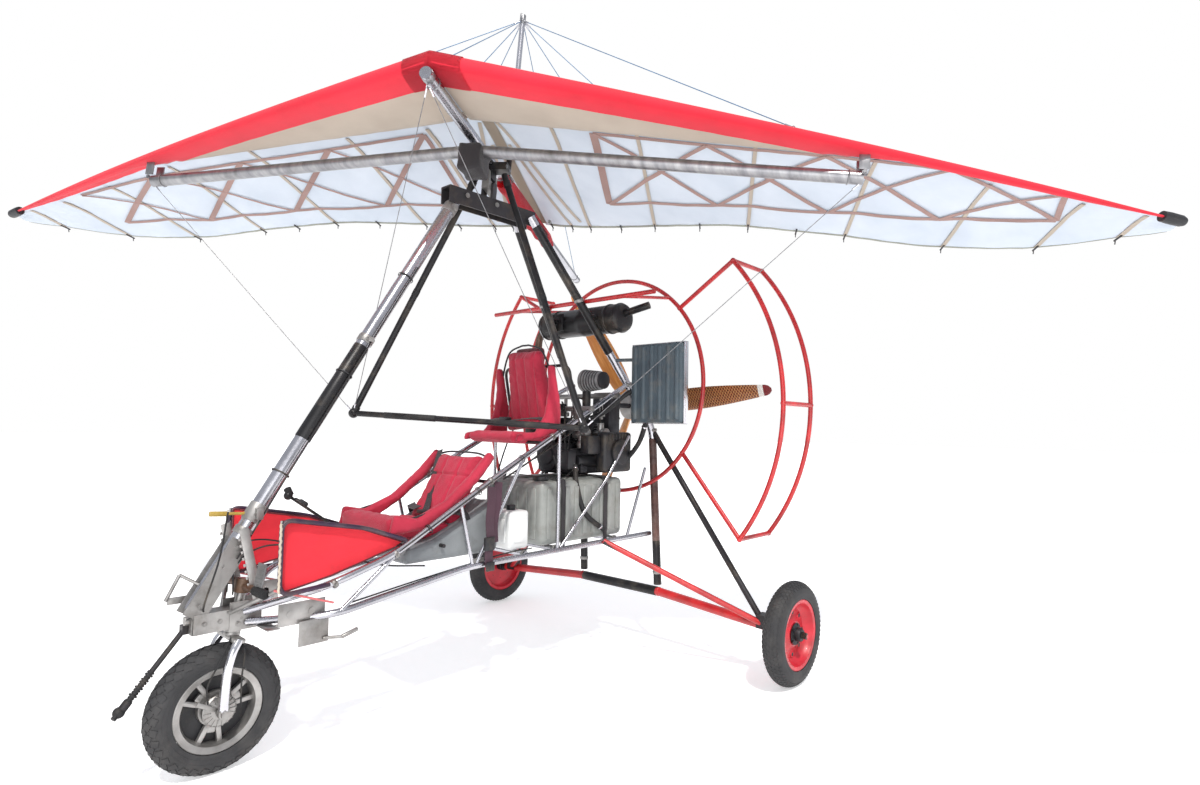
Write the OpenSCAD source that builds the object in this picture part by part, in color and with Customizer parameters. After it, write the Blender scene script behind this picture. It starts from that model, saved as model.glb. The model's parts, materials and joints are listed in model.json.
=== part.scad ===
/* [Wheels] */
// Radius of the front tyre
front_tyre_r = 224; // [190:1:260]
// Width of the front tyre
front_tyre_w = 96; // [70:1:120]
// Radius of the rear tyres
rear_tyre_r = 252; // [200:1:300]
// Width of the rear tyres
rear_tyre_w = 104; // [80:1:140]
// Distance from the front hub back to the rear hubs
wheelbase = 2225; // [2000:5:2500]
// Distance between the middles of the rear tyres
track = 2240; // [1900:5:2500]
// Radius of the wheel axles
axle_r = 9; // [7:0.5:12]

/* [Trike frame] */
// Outer radius of the front strut
strut_r = 30; // [22:1:36]
// Outer radius of the mast legs
leg_r = 22; // [16:1:28]
// Outer radius of the side rails and lower rails
rail_r = 14; // [10:1:18]
// Half the distance between the side rails
rail_x = 250; // [220:1:300]
// Radius of the seat, cross and fairing tubes
small_tube_r = 9; // [6:1:12]
// Radius of the rear axle beam
beam_r = 24; // [18:1:30]
// Lean of the steering head from the vertical, in degrees
head_rake = 10; // [5:1:15]
// Radius of the steering stem
stem_r = 15; // [12:1:18]

/* [Wing] */
// Distance from the keel to a wing tip
half_span = 3200; // [2600:10:3600]
// Distance from the hang point forward to the nose
nose_fwd = 779; // [650:5:900]
// Distance from the hang point back to the end of the keel
keel_aft = 2037; // [1700:5:2200]
// Height of the keel above the ground at the hang point
hang_z = 2566; // [2450:5:2700]
// Angle the parked wing is turned on its hang point, in degrees
wing_turn = 31.6; // [20:0.1:40]
// Nose-up angle of the parked wing, in degrees
wing_pitch = 5; // [0:0.5:8]
// Radius of the keel tube
keel_r = 26; // [20:1:32]
// Radius of the cross bar
crossbar_r = 28; // [20:1:32]
// Height of the king post above the keel
king_h = 970; // [700:5:1100]
// Drop from the keel to the base bar
frame_drop = 1305; // [1150:5:1400]
// Half the length of the base bar
base_half = 586; // [450:2:650]

/* [Engine and propeller] */
// Radius of the propeller
prop_r = 950; // [750:5:980]
// Height of the propeller shaft above the ground
prop_z = 1380; // [1330:5:1430]
// Distance from the front hub back to the propeller disc
prop_y = 2330; // [2320:1:2345]
// Radius of the inner guard ring
ring_r = 630; // [560:5:680]
// Radius of the outer guard hoops
hoop_r = 1120; // [1060:5:1180]
// Radius of the muffler
muffler_r = 80; // [60:1:90]

/* [Hidden] */
$fn = 48;

// gap left between neighbouring pieces, and running clearance of a shaft in its bore
seat_gap = 0.3;
run_gap = 0.05;

// how far the round bend of a tube stands proud of its straight runs
bend_swell = 2;

// points of the trike, as [x, y, z]; y runs aft from the front hub
hub_front = [0, 0, front_tyre_r];
hub_rear = [track / 2, wheelbase, rear_tyre_r];
hang_pt = [0, 1176, hang_z];
strut_foot = [0, -90, 580];
head_len = 540;
head_w = strut_r + seat_gap;
plate_t = 6;
head_top = hang_z - 190;
strut_top = [0, hang_pt[1] - head_len * 0.38, head_top - 40];
leg_top = [head_w + plate_t + seat_gap + leg_r, hang_pt[1] + head_len * 0.4, head_top - 42];
leg_knee = [270, wheelbase - 45, 1250];
beam_mid_z = 310;
leg_foot = [290, wheelbase, beam_mid_z + 40];
lower_z = 640;
nose_z = 535;
nose_len = 190;
nose_half_w = 36;
nose_half_h = 35;

function mirror_x(p) = [-p[0], p[1], p[2]];
function lerp(a, b, t) = a + (b - a) * t;
// point on the leg's upper run at height z
function leg_at(z) = lerp(leg_knee, leg_top, (z - leg_knee[2]) / (leg_top[2] - leg_knee[2]));

// routes of the rails, left side
rail_end = leg_at(1490);
rail_pts = [[nose_half_w + 4, 70, nose_z + 22], [rail_x, 280, 650], [rail_x, 550, 730],
    [rail_x, 1100, 1040], [rail_x, 1630, 1312], [rail_end[0], rail_end[1], 1490]];
lower_pts = [[nose_half_w + 4, 78, nose_z - 18], [rail_x, 300, 540], [rail_x, 920, lower_z - 10],
    [rail_x, wheelbase - 30, lower_z]];
cross_y = [1245, 1450, 1900];
// point on the side rail's straight middle run at distance y
function rail_at(y) = y < 1100
    ? lerp(rail_pts[2], rail_pts[3], (y - 550) / 550)
    : lerp(rail_pts[3], rail_pts[4], (y - 1100) / 530);

// straight round bar from a to b
module bar(a, b, r) {
    d = b - a;
    translate(a) rotate([0, acos(d[2] / norm(d)), atan2(d[1], d[0])]) cylinder(h = norm(d), r = r);
}
// bent round bar through a list of points
module pipe(pts, r) {
    for (i = [0 : len(pts) - 2]) bar(pts[i], pts[i + 1], r);
    for (i = [1 : len(pts) - 2]) translate(pts[i]) sphere(r = r + bend_swell);
}
module box_at(low, high) { translate(low) cube(high - low); }
module side(s) { if (s < 0) mirror([1, 0, 0]) children(); else children(); }
// round bar along x, centred
module x_bar(x0, x1, y, z, r) { translate([x0, y, z]) rotate([0, 90, 0]) cylinder(h = x1 - x0, r = r); }
// round bar along y
module y_bar(y0, y1, x, z, r) { translate([x, y0, z]) rotate([-90, 0, 0]) cylinder(h = y1 - y0, r = r); }
// outline in [y, z] extruded along x
module yz_slab(x0, x1, pts) {
    translate([x0, 0, 0]) rotate([90, 0, 90]) linear_extrude(height = x1 - x0) polygon(pts);
}

// frame in which the steering axis is z through the front hub
module head_axis() { translate(hub_front) rotate([-head_rake, 0, 0]) children(); }
strut_lean = atan2(strut_top[1] - strut_foot[1], strut_top[2] - strut_foot[2]);
module strut_axis() { translate(strut_foot) rotate([-strut_lean, 0, 0]) children(); }
// wing frame: origin on the keel at the hang point, x to its left tip, y aft along the keel
module wing_axis() {
    translate(hang_pt) rotate([-wing_pitch, 0, 0]) rotate([0, 0, wing_turn]) children();
}

module strut_raw(g = 0) { bar(strut_foot, strut_top, strut_r + g); }
module rail_raw(g = 0) { pipe(rail_pts, rail_r + g); }
module leg_raw(g = 0) { pipe([leg_foot, leg_knee, leg_top], leg_r + g); }
module lower_raw(g = 0) {
    for (s = [-1, 1]) side(s) pipe(lower_pts, rail_r + g);
    for (y = cross_y) x_bar(-rail_x, rail_x, y, lower_z, rail_r + g);
}
module nose_raw(g = 0) {
    box_at([-nose_half_w - g, -95 - g, nose_z - nose_half_h - g],
           [nose_half_w + g, nose_len - 95 + g, nose_z + nose_half_h + g]);
}
module beam_raw(g = 0) {
    pipe([mirror_x(hub_rear) + [rear_tyre_w / 2 + 30, 0, 0], [-300, wheelbase, beam_mid_z],
          [300, wheelbase, beam_mid_z], hub_rear - [rear_tyre_w / 2 + 30, 0, 0]], beam_r + g);
}

module front_strut() {
    color("silver") difference() {
        strut_raw();
        nose_raw(seat_gap);
    }
}
channel_len = 290;
channel_t = 5;
module strut_channel() {
    color("darkgray") difference() {
        strut_axis() difference() {
            translate([-head_w - channel_t, -head_w - 4, -20])
                cube([2 * (head_w + channel_t), 2 * head_w + 14, channel_len]);
            translate([-head_w, -head_w - 40, -60]) cube([2 * head_w, 2 * head_w + 40, channel_len + 80]);
        }
        nose_raw(seat_gap);
        translate([-100, -200, 0]) cube([200, 400, nose_z]);
    }
}
module nose_frame() {
    color("dimgray") difference() {
        union() {
            nose_raw();
            head_axis() translate([0, 0, 262]) cylinder(h = 100, r = stem_r + 12);
            for (s = [-1, 1]) side(s) box_at([nose_half_w - 1, 20, nose_z - nose_half_h - 8], [nose_half_w + 4, 130, nose_z + 60]);
        }
        head_axis() translate([0, 0, 200]) cylinder(h = 260, r = stem_r + run_gap);
        for (s = [-1, 1]) side(s) { pipe(rail_pts, rail_r + seat_gap); pipe(lower_pts, rail_r + seat_gap); }
    }
}
module side_rail(s) {
    color("silver") side(s) difference() {
        rail_raw();
        leg_raw(seat_gap);
        box_at([0, 0, 0], [nose_half_w + seat_gap, 300, 900]);
    }
}
module lower_frame() {
    color("gainsboro") difference() {
        lower_raw();
        for (s = [-1, 1]) side(s) leg_raw(seat_gap);
        box_at([-nose_half_w - seat_gap, 0, 0], [nose_half_w + seat_gap, 300, 900]);
    }
}
module mast_leg(s) {
    color("silver") side(s) difference() {
        leg_raw();
        beam_raw(seat_gap);
    }
}
pin_r = 10;
roll_drop = 65;
pitch_drop = 128;
ear_half = 25;
block_half = 18;
module mast_head() {
    color("dimgray") {
        difference() {
            translate([0, hang_pt[1], head_top]) difference() {
                translate([-head_w - plate_t, -head_len / 2, -80])
                    cube([2 * (head_w + plate_t), head_len, 80]);
                translate([-head_w, -head_len / 2 - 1, -81]) cube([2 * head_w, head_len + 2, 81 - 8]);
            }
            for (s = [-1, 1]) side(s) leg_raw(seat_gap);
        }
        wing_axis() {
            for (s = [-1, 1]) side(s) hull() {
                translate([block_half + 1, 0, -pitch_drop]) rotate([0, 90, 0]) cylinder(h = 12, r = ear_half);
                translate([block_half + 1, -ear_half, -193]) cube([12, 2 * ear_half, 5]);
            }
            x_bar(-block_half - 13, block_half + 13, 0, -pitch_drop, pin_r);
        }
    }
}
spreader_z = 1930;
spreader_half = 620;
tube_r = 12;
leg_slope = (leg_top[2] - leg_knee[2]) / norm(leg_top - leg_knee);
spreader_at = leg_at(spreader_z) + [0, (leg_r + tube_r + seat_gap) / leg_slope, 0];
ring_y = 2160;
ring_z = 1500;
module spreader_bar() {
    color("firebrick") difference() {
        union() {
            x_bar(-spreader_half, spreader_half, spreader_at[1], spreader_z, tube_r);
            for (s = [-1, 1]) side(s)
                bar([400, spreader_at[1], spreader_z],
                    [400, ring_y, ring_z + sqrt(ring_r * ring_r - 400 * 400)], small_tube_r);
        }
        guard_ring_raw(seat_gap);
    }
}
fair_x = rail_x - 7;
module fairing_frame() {
    color("indigo") difference() {
        for (s = [-1, 1]) side(s)
            pipe([[fair_x, 286, 652], [fair_x, 105, 640], [fair_x, 105, 905], [fair_x, 420, 845],
                  [fair_x, 600, 780], [fair_x, 600, 758]], small_tube_r);
        for (s = [-1, 1]) side(s) rail_raw(seat_gap);
    }
}
panel_t = 8;
module nose_panel(s) {
    x1 = fair_x - small_tube_r - bend_swell - seat_gap;
    color("crimson") side(s) difference() {
        yz_slab(x1 - panel_t, x1, [[105, 640], [105, 905], [420, 845], [600, 780], [560, 752], [300, 672]]);
        rail_raw(seat_gap);
    }
}

// seats: outlines in [y, z]; the cross tubes lie 0.3 mm below or behind them
seat_half_w = 205;
front_pan = [[548, 850], [600, 862], [690, 800], [840, 790], [960, 900], [1040, 1120],
    [1090, 1105], [1010, 870], [880, 742], [680, 742], [560, 805]];
rear_pan = [[1198, 1204], [1470, 1192], [1500, 1240], [1425, 1640], [1475, 1665],
    [1560, 1255], [1500, 1165], [1190, 1182.7]];
module front_seat() { color("indianred") yz_slab(-seat_half_w, seat_half_w, front_pan); }
module rear_seat() { color("brown") yz_slab(-seat_half_w, seat_half_w, rear_pan); }
module seat_outline(g) {
    yz_slab(-seat_half_w - g, seat_half_w + g, front_pan);
    yz_slab(-seat_half_w - g, seat_half_w + g, rear_pan);
}
// cross tube under the front roll of the front seat, as [y, z]
front_tube = [620, 763];
module seat_frame() {
    // rows: [y, z] of a cross tube
    cross = [front_tube, [780, 742 - small_tube_r - seat_gap], [1055, 986], [1320, 1175.2 - small_tube_r - seat_gap]];
    color("dimgray") difference() {
        union() {
            for (c = cross) {
                x_bar(-rail_x, rail_x, c[0], c[1], small_tube_r);
                for (s = [-1, 1]) side(s) bar([rail_x, c[0], c[1]], rail_at(c[0]), small_tube_r);
            }
            for (s = [-1, 1]) side(s)
                pipe([rail_at(1560), [rail_x, 1560, 1300], [rail_x, 1506, 1560], [0, 1506, 1560]], small_tube_r);
        }
        for (s = [-1, 1]) side(s) rail_raw(seat_gap);
        for (d = [[0, -seat_gap], [seat_gap, 0]]) translate([0, d[0], d[1]]) seat_outline(seat_gap);
    }
}
// foot plates that stand on the foot bar: [inner x, outer x, height, thickness]
pedal = [98, 168, 84, 6];
module pedals() {
    z0 = foot_bar_z + foot_bar_r + seat_gap;
    color("lightgray") head_axis() for (s = [-1, 1]) side(s)
        box_at([pedal[0], -pedal[3] / 2, z0], [pedal[1], pedal[3] / 2, z0 + pedal[2]]);
}
module hand_lever() {
    foot = [-150, front_tube[0] - small_tube_r - seat_gap - 2, front_tube[1] - 3];
    color("black") difference() {
        union() {
            pipe([foot + [0, 6, 0], foot + [0, -84, 18], foot + [-40, -300, 180]], 6);
            translate(foot + [-40, -300, 180]) sphere(r = 18);
        }
        x_bar(-rail_x, rail_x, front_tube[0], front_tube[1], small_tube_r + seat_gap);
    }
}
module tow_bar() {
    color("saddlebrown") {
        bar([-18, -95 - seat_gap - 12, nose_z - 20], [-18, -275, 296], 9);
        bar([-18, -262, 313], [-18, -290, 276], 14);
        box_at([-34, -95 - seat_gap - 22, nose_z - 34], [-2, -95 - seat_gap, nose_z - 4]);
    }
}
module rear_axle() {
    color("firebrick") {
        beam_raw();
        for (s = [-1, 1]) side(s)
            x_bar(hub_rear[0] - rear_tyre_w / 2 - 34, hub_rear[0] + rear_tyre_w / 2 + 26, wheelbase, rear_tyre_r, axle_r);
    }
}
// radius tube forward to the lower frame, and strut up to the knee of the mast leg
module gear_leg(s) {
    end_x = hub_rear[0] - rear_tyre_w / 2 - 100;
    color("maroon") side(s) difference() {
        union() {
            bar([rail_x + rail_r, 1783, lower_z], [end_x, wheelbase, rear_tyre_r + 10], 14);
            bar([leg_knee[0], leg_knee[1], 1235], [end_x, wheelbase, rear_tyre_r + 10], 16);
            box_at([end_x - 30, wheelbase - 34, rear_tyre_r - 6], [end_x + 30, wheelbase + 34, rear_tyre_r + 62]);
        }
        leg_raw(seat_gap);
        beam_raw(seat_gap);
        pipe(lower_pts, rail_r + seat_gap);
    }
}
eng_low = [-170, 1620, 990];
eng_high = [170, 2040, 1300];
shaft_r = 15;
module engine() {
    color("dimgray") {
        box_at(eng_low, eng_high);
        box_at([-70, eng_high[1] - 1, 1180], [70, eng_high[1] + 90, prop_z + 70]);
        y_bar(eng_high[1], prop_y + 45, 0, prop_z, shaft_r);
    }
}
module engine_mount() {
    color("gray") difference() {
        for (y = [1670, 1600 + 280]) {
            z = y < 1700 ? 1342 : 1420;
            x_bar(-rail_x - 20, rail_x + 20, y, z, rail_r);
            for (s = [-1, 1]) side(s) translate([140, y, eng_high[2] + seat_gap]) cylinder(h = z - eng_high[2], r = 10);
        }
        for (s = [-1, 1]) side(s) rail_raw(seat_gap);
    }
}
muf = [0, 1888, 1850];
module muffler() {
    color("black") difference() {
        union() {
            x_bar(-330, 300, muf[1], muf[2], muffler_r);
            pipe([[-300, muf[1], muf[2]], [-390, muf[1], 1800], [-390, 1850, 1300], [-330, 1830, 1180],
                  [eng_low[0] - seat_gap, 1830, 1180]], 22);
            pipe([[290, muf[1], muf[2] + 20], [400, muf[1], muf[2] + 40], [450, muf[1] + 20, muf[2] + 55]], 20);
            for (s = [-1, 1]) side(s) bar(muf + [leg_at(1850)[0], -muffler_r + 15, 0], leg_at(1860), 12);
        }
        for (s = [-1, 1]) side(s) leg_raw(seat_gap);
        for (s = [-1, 1]) side(s) rail_raw(seat_gap);
    }
}
module air_filter() {
    color("gray") {
        translate([110, 1790, eng_high[2] + seat_gap]) cylinder(h = 170, r = 24);
        translate([96, 1790, eng_high[2] + 200]) rotate([0, 90, 0]) cylinder(h = 140, r1 = 62, r2 = 46);
    }
}
rad_low = [320, 1905, 1270];
rad_high = [660, 1990, 1700];
module radiator() {
    color("slategray") difference() {
        union() {
            box_at(rad_low, rad_high);
            for (z = [1400, 1620]) bar(leg_at(z), [rad_low[0] + 8, 1950, z], 9);
        }
        leg_raw(seat_gap);
        rail_raw(seat_gap);
    }
}
tank_z = lower_z + rail_r + seat_gap;
module rounded_box(low, high, r) {
    translate(low) linear_extrude(height = high[2] - low[2])
        translate([r, r]) offset_square(high[0] - low[0] - 2 * r, high[1] - low[1] - 2 * r, r);
}
// rectangle with true round corners
module offset_square(w, h, r) {
    translate([-r, 0]) square([w + 2 * r, h]);
    translate([0, -r]) square([w, h + 2 * r]);
    for (x = [0, w], y = [0, h]) translate([x, y]) circle(r = r);
}
module fuel_tank() { color("lightgray") rounded_box([-228, 1360, tank_z], [228, 1980, 975], 40); }
module header_tank() { color("white") rounded_box([60, 1180, tank_z], [200, 1310, 840], 25); }
module battery_box() { color("dimgray") box_at([-200, 1175, tank_z], [-40, 1315, 820]); }

module guard_ring_raw(g = 0) {
    translate([0, ring_y, ring_z]) rotate([90, 0, 0]) rotate_extrude($fn = 96)
        translate([ring_r, 0]) circle(r = tube_r + g, $fn = 24);
}
// short clamps from the ring forward or back to the mast legs' lower run
clamp_z = ring_z - sqrt(ring_r * ring_r - 284 * 284);
module guard_ring() {
    color("red") difference() {
        union() {
            guard_ring_raw();
            for (s = [-1, 1]) side(s) bar([284, ring_y, clamp_z], [284, wheelbase - 5, clamp_z], small_tube_r);
        }
        for (s = [-1, 1]) side(s) leg_raw(seat_gap);
    }
}
hoop_front_y = 2120;
hoop_rear_y = 2425;
arc_top = 42;
arc_low = -38;
// point on an outer hoop at an angle above the level of the shaft
function hoop_pt(a, y) = [hoop_r * cos(a), y, prop_z + hoop_r * sin(a)];
function ring_pt(a) = [ring_r * cos(a), ring_y, ring_z + ring_r * sin(a)];
module hoop_arc(y) {
    translate([0, y, prop_z]) rotate([90, 0, 0]) rotate([0, 0, arc_low])
        rotate_extrude(angle = arc_top - arc_low, $fn = 96) translate([hoop_r, 0]) circle(r = tube_r, $fn = 24);
}
module guard_side(s) {
    color("red") side(s) difference() {
        union() {
            hoop_arc(hoop_front_y);
            hoop_arc(hoop_rear_y);
            for (a = [arc_low, 0, arc_top]) bar(hoop_pt(a, hoop_front_y), hoop_pt(a, hoop_rear_y), tube_r);
            for (a = [arc_low, arc_top]) {
                translate(hoop_pt(a, hoop_front_y)) sphere(r = tube_r + bend_swell);
                translate(hoop_pt(a, hoop_rear_y)) sphere(r = tube_r + bend_swell);
                bar(hoop_pt(a, hoop_front_y), ring_pt(a), tube_r);
            }
        }
        guard_ring_raw(seat_gap);
    }
}

// steering: stem, crown, two legs and the front axle
fork_half = front_tyre_w / 2 + 26;
crown_z = front_tyre_r + 14;
module fork() {
    color("silver") head_axis() {
        translate([0, 0, crown_z]) cylinder(h = 445 - crown_z, r = stem_r);
        translate([-fork_half - 13, -22, crown_z - 4]) cube([2 * fork_half + 26, 44, 24]);
        for (s = [-1, 1]) side(s) {
            bar([fork_half, 0, 0], [fork_half, 0, crown_z + 4], 12);
            translate([fork_half - 14, 0, 0]) rotate([0, 90, 0]) cylinder(h = 28, r = 20);
        }
        x_bar(-fork_half - 18, fork_half + 18, 0, 0, axle_r);
    }
}
foot_bar_half = 205;
foot_bar_z = 425;
foot_bar_r = 13;
module foot_bar() {
    color("sienna") head_axis() difference() {
        union() {
            x_bar(-foot_bar_half, foot_bar_half, 0, foot_bar_z, foot_bar_r);
            translate([0, 0, foot_bar_z - 25]) cylinder(h = 50, r = stem_r + 10);
        }
        translate([0, 0, 380]) cylinder(h = 80, r = stem_r + seat_gap);
    }
}

// wheels: [tyre radius, tyre width, rim radius, hub half width]
front_wheel = [front_tyre_r, front_tyre_w, front_tyre_r - 86, 44];
rear_wheel = [rear_tyre_r, rear_tyre_w, rear_tyre_r - 92, 48];
module rim(w) {
    bore = axle_r + run_gap;
    rotate([0, 90, 0]) rotate_extrude($fn = 72) union() {
        translate([bore, -w[3]]) square([24, 2 * w[3]]);
        translate([bore + 10, -8]) square([w[2] - bore - 14, 16]);
        translate([w[2] - 14, -w[1] * 0.4]) square([14, w[1] * 0.8]);
        for (s = [-1, 1]) translate([w[2] - 14, s * w[1] * 0.4 - 4]) square([24, 8]);
    }
}
module tyre(w) {
    crown_r = w[0] - w[1] / 2;
    rotate([0, 90, 0]) rotate_extrude($fn = 72) {
        intersection() {
            translate([crown_r, 0]) circle(r = w[1] / 2);
            translate([w[2] + 10 + seat_gap, -w[1]]) square([w[0], 2 * w[1]]);
        }
        translate([w[2] + 10 + seat_gap, -w[1] * 0.46]) square([crown_r - w[2] - 10, w[1] * 0.92]);
        translate([w[2] + seat_gap, -w[1] * 0.4 + 4 + seat_gap]) square([20, w[1] * 0.8 - 8 - 2 * seat_gap]);
    }
}
module front_rim() { color("silver") head_axis() rim(front_wheel); }
module front_tyre() { color("black") head_axis() tyre(front_wheel); }
module rear_rim(s) { color("crimson") side(s) translate(hub_rear) rim(rear_wheel); }
module rear_tyre(s) { color("black") side(s) translate(hub_rear) tyre(rear_wheel); }

// propeller: three blades; sections run from the hub to the tip
blades = 3;
first_blade = 5;
blade_root = 70;
section_n = 12;
stations = 12;
// chord, thickness and pitch angle of a blade at the fraction t of its length
function blade_chord(t) = 78 + 70 * sin(180 * pow(t, 0.75)) - 26 * t;
function blade_thick(t) = 34 * pow(1 - t, 1.4) + 7;
function blade_pitch(t) = 48 - 33 * sqrt(t);
function blade_ring(t) = let (c = blade_chord(t), h = blade_thick(t), p = blade_pitch(t))
    [for (k = [0 : section_n - 1]) let (a = 360 * k / section_n, u = c / 2 * cos(a), v = h / 2 * sin(a))
        [lerp(blade_root, prop_r, t), u * cos(p) - v * sin(p), u * sin(p) + v * cos(p)]];
module blade() {
    pts = [for (i = [0 : stations]) each blade_ring(i / stations)];
    n = section_n;
    polyhedron(points = pts, faces = concat(
        [[for (k = [0 : n - 1]) k]],
        [[for (k = [n - 1 : -1 : 0]) stations * n + k]],
        [for (i = [0 : stations - 1], k = [0 : n - 1])
            [i * n + k, (i + 1) * n + k, (i + 1) * n + (k + 1) % n, i * n + (k + 1) % n]]));
}
module propeller() {
    color("burlywood") translate([0, prop_y, prop_z]) {
        difference() {
            rotate([90, 0, 0]) cylinder(h = 76, r = 82, center = true);
            rotate([90, 0, 0]) cylinder(h = 90, r = shaft_r + run_gap, center = true);
        }
        for (b = [0 : blades - 1]) rotate([0, -first_blade - b * 360 / blades, 0]) rotate([90, 0, 0]) blade();
    }
}

// hang joint: the block pitches on the mast head's pin, the bracket rolls on the block's pin
module hang_block() {
    color("gray") wing_axis() {
        difference() {
            translate([-block_half, -60, -152]) cube([2 * block_half, 120, 46]);
            x_bar(-40, 40, 0, -pitch_drop, pin_r + run_gap);
        }
        for (s = [-1, 1]) mirror([0, s < 0 ? 1 : 0, 0]) hull() {
            translate([-block_half, 37, -120]) cube([2 * block_half, 20, 10]);
            y_bar(37, 57, 0, -roll_drop, 15);
        }
        y_bar(-57, 57, 0, -roll_drop, pin_r);
    }
}
bracket_half = 92;
bracket_low = 46;
module hang_bracket() {
    color("black") wing_axis() difference() {
        union() {
            translate([-bracket_half, -34, -bracket_low]) cube([2 * bracket_half, 68, bracket_low - 8]);
            translate([-block_half, -34, -88]) cube([2 * block_half, 68, 60]);
        }
        y_bar(-60, 60, 0, 0, keel_r + seat_gap);
        y_bar(-60, 60, 0, -roll_drop, pin_r + run_gap);
    }
}
module keel_tube() { color("silver") wing_axis() y_bar(-nose_fwd, keel_aft, 0, 0, keel_r); }

king_y = 245;
king_r = 14;

// sail plan of one half, rows [fraction of the half span, trailing edge y]
plan = [[(king_r + seat_gap) / half_span, 1000], [0.1, 968], [0.21, 868], [0.37, 722],
    [0.54, 724], [0.71, 775], [0.855, 672], [0.94, 455], [1, 300]];
tip_y = 203;
sail_drop = 84;
sail_base = keel_r + 37;
tip_lift = 30;
function lead_y(f) = lerp(-nose_fwd, tip_y, f) - 45 * sin(180 * f);
// chord fractions with the lower and the upper skin's height as parts of the chord
skin = [[0, 0, 0], [0.015, -0.014, 0.020], [0.05, -0.019, 0.036], [0.12, -0.018, 0.052],
    [0.25, -0.012, 0.062], [0.42, 0.010, 0.060], [0.5, 0.035, 0.053], [0.75, 0.017, 0.027], [1, -0.003, 0.003]];
function sail_pt(row, s, up) = let (f = row[0], y0 = lead_y(f), c = row[1] - y0)
    [f * half_span, y0 + c * s[0], sail_base - sail_drop * f * half_span / 1000 + c * (up ? s[2] : s[1])];
module sail_half(s) {
    m = len(skin);
    rows = len(plan);
    ring_n = 2 * m - 1;
    ring = function (row) concat([for (i = [0 : m - 1]) sail_pt(row, skin[i], true)],
        [for (i = [m - 1 : -1 : 1]) sail_pt(row, skin[i], false)]);
    pts = [for (r = plan) each ring(r)];
    color("lightsteelblue") wing_axis() side(s)
        polyhedron(points = pts, faces = concat(
            [[for (k = [ring_n - 1 : -1 : 0]) k]],
            [[for (k = [0 : ring_n - 1]) (rows - 1) * ring_n + k]],
            [for (i = [0 : rows - 2], k = [0 : ring_n - 1])
                [i * ring_n + k, i * ring_n + (k + 1) % ring_n,
                 (i + 1) * ring_n + (k + 1) % ring_n, (i + 1) * ring_n + k]]));
}
cross_mid = [0, -240, -keel_r - crossbar_r - seat_gap];
cross_end = [1740, -225, -190];
module crossbar_raw(g = 0) {
    for (s = [-1, 1]) side(s) bar(cross_mid, cross_end, crossbar_r + g);
    y_bar(cross_mid[1] - crossbar_r - 8 - g, cross_mid[1] + crossbar_r + 8 + g, 0, cross_mid[2], crossbar_r - 4 + g);
}
module crossbar() { color("gray") wing_axis() crossbar_raw(); }
module king_post() {
    color("silver") wing_axis() difference() {
        translate([0, king_y, keel_r - 8]) cylinder(h = king_h - keel_r, r = king_r);
        y_bar(0, 500, 0, 0, keel_r + seat_gap);
    }
}
upright_r = 16;
bar_r = 14;
corner = [base_half, -17, -frame_drop];
corner_r = 24;
module corner_raw(g = 0) { translate(corner) sphere(r = corner_r + g); }
module upright(s) {
    color("black") wing_axis() side(s) difference() {
        union() {
            bar([bracket_half - 20, 0, -bracket_low - seat_gap - 14], corner, upright_r);
            corner_raw();
        }
        translate([0, -100, -bracket_low - seat_gap]) cube([200, 200, 100]);
    }
}
module base_bar() {
    color("black") wing_axis() difference() {
        x_bar(-base_half, base_half, corner[1], corner[2], bar_r);
        for (s = [-1, 1]) side(s) {
            corner_raw(seat_gap);
            bar([bracket_half - 20, 0, -bracket_low], corner, upright_r + seat_gap);
        }
    }
}
wire_r = 2.5;
module stays() {
    nose = [0, -nose_fwd + 30, -keel_r - 1];
    king = [0, king_y, king_h - 20];
    tail = [0, keel_aft - 80, keel_r + 1];
    color("silver") wing_axis() difference() {
        union() {
            for (s = [-1, 1]) side(s) {
                bar(corner, nose, wire_r);
                bar(corner, cross_end - [0, 0, 10], wire_r);
            }
            bar(king, tail, wire_r);
        }
        for (s = [-1, 1]) side(s) {
            corner_raw(seat_gap);
            bar([bracket_half - 20, 0, -bracket_low], corner, upright_r + seat_gap);
        }
        y_bar(-nose_fwd - 10, keel_aft + 10, 0, 0, keel_r + seat_gap);
        translate([0, king_y, 0]) cylinder(h = king_h + 20, r = king_r + seat_gap);
        crossbar_raw(seat_gap);
    }
}

front_strut();
strut_channel();
nose_frame();
side_rail(1);  // side_rail_left
side_rail(-1);  // side_rail_right
lower_frame();
mast_leg(1);  // mast_leg_left
mast_leg(-1);  // mast_leg_right
mast_head();
spreader_bar();
fairing_frame();
nose_panel(1);  // nose_panel_left
nose_panel(-1);  // nose_panel_right
seat_frame();
front_seat();
rear_seat();
pedals();
hand_lever();
tow_bar();
rear_axle();
gear_leg(1);  // gear_leg_left
gear_leg(-1);  // gear_leg_right
engine();
engine_mount();
muffler();
air_filter();
radiator();
fuel_tank();
header_tank();
battery_box();
guard_ring();
guard_side(1);  // guard_left
guard_side(-1);  // guard_right
fork();
foot_bar();
front_rim();
front_tyre();
rear_rim(1);  // rear_rim_left
rear_tyre(1);  // rear_tyre_left
rear_rim(-1);  // rear_rim_right
rear_tyre(-1);  // rear_tyre_right
propeller();
hang_block();
hang_bracket();
keel_tube();
sail_half(1);  // sail_left
sail_half(-1);  // sail_right
crossbar();
king_post();
upright(1);  // upright_left
upright(-1);  // upright_right
base_bar();
stays();
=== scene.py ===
import json
import math
import random

import bmesh
import bpy
from mathutils import Matrix, Vector


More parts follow.
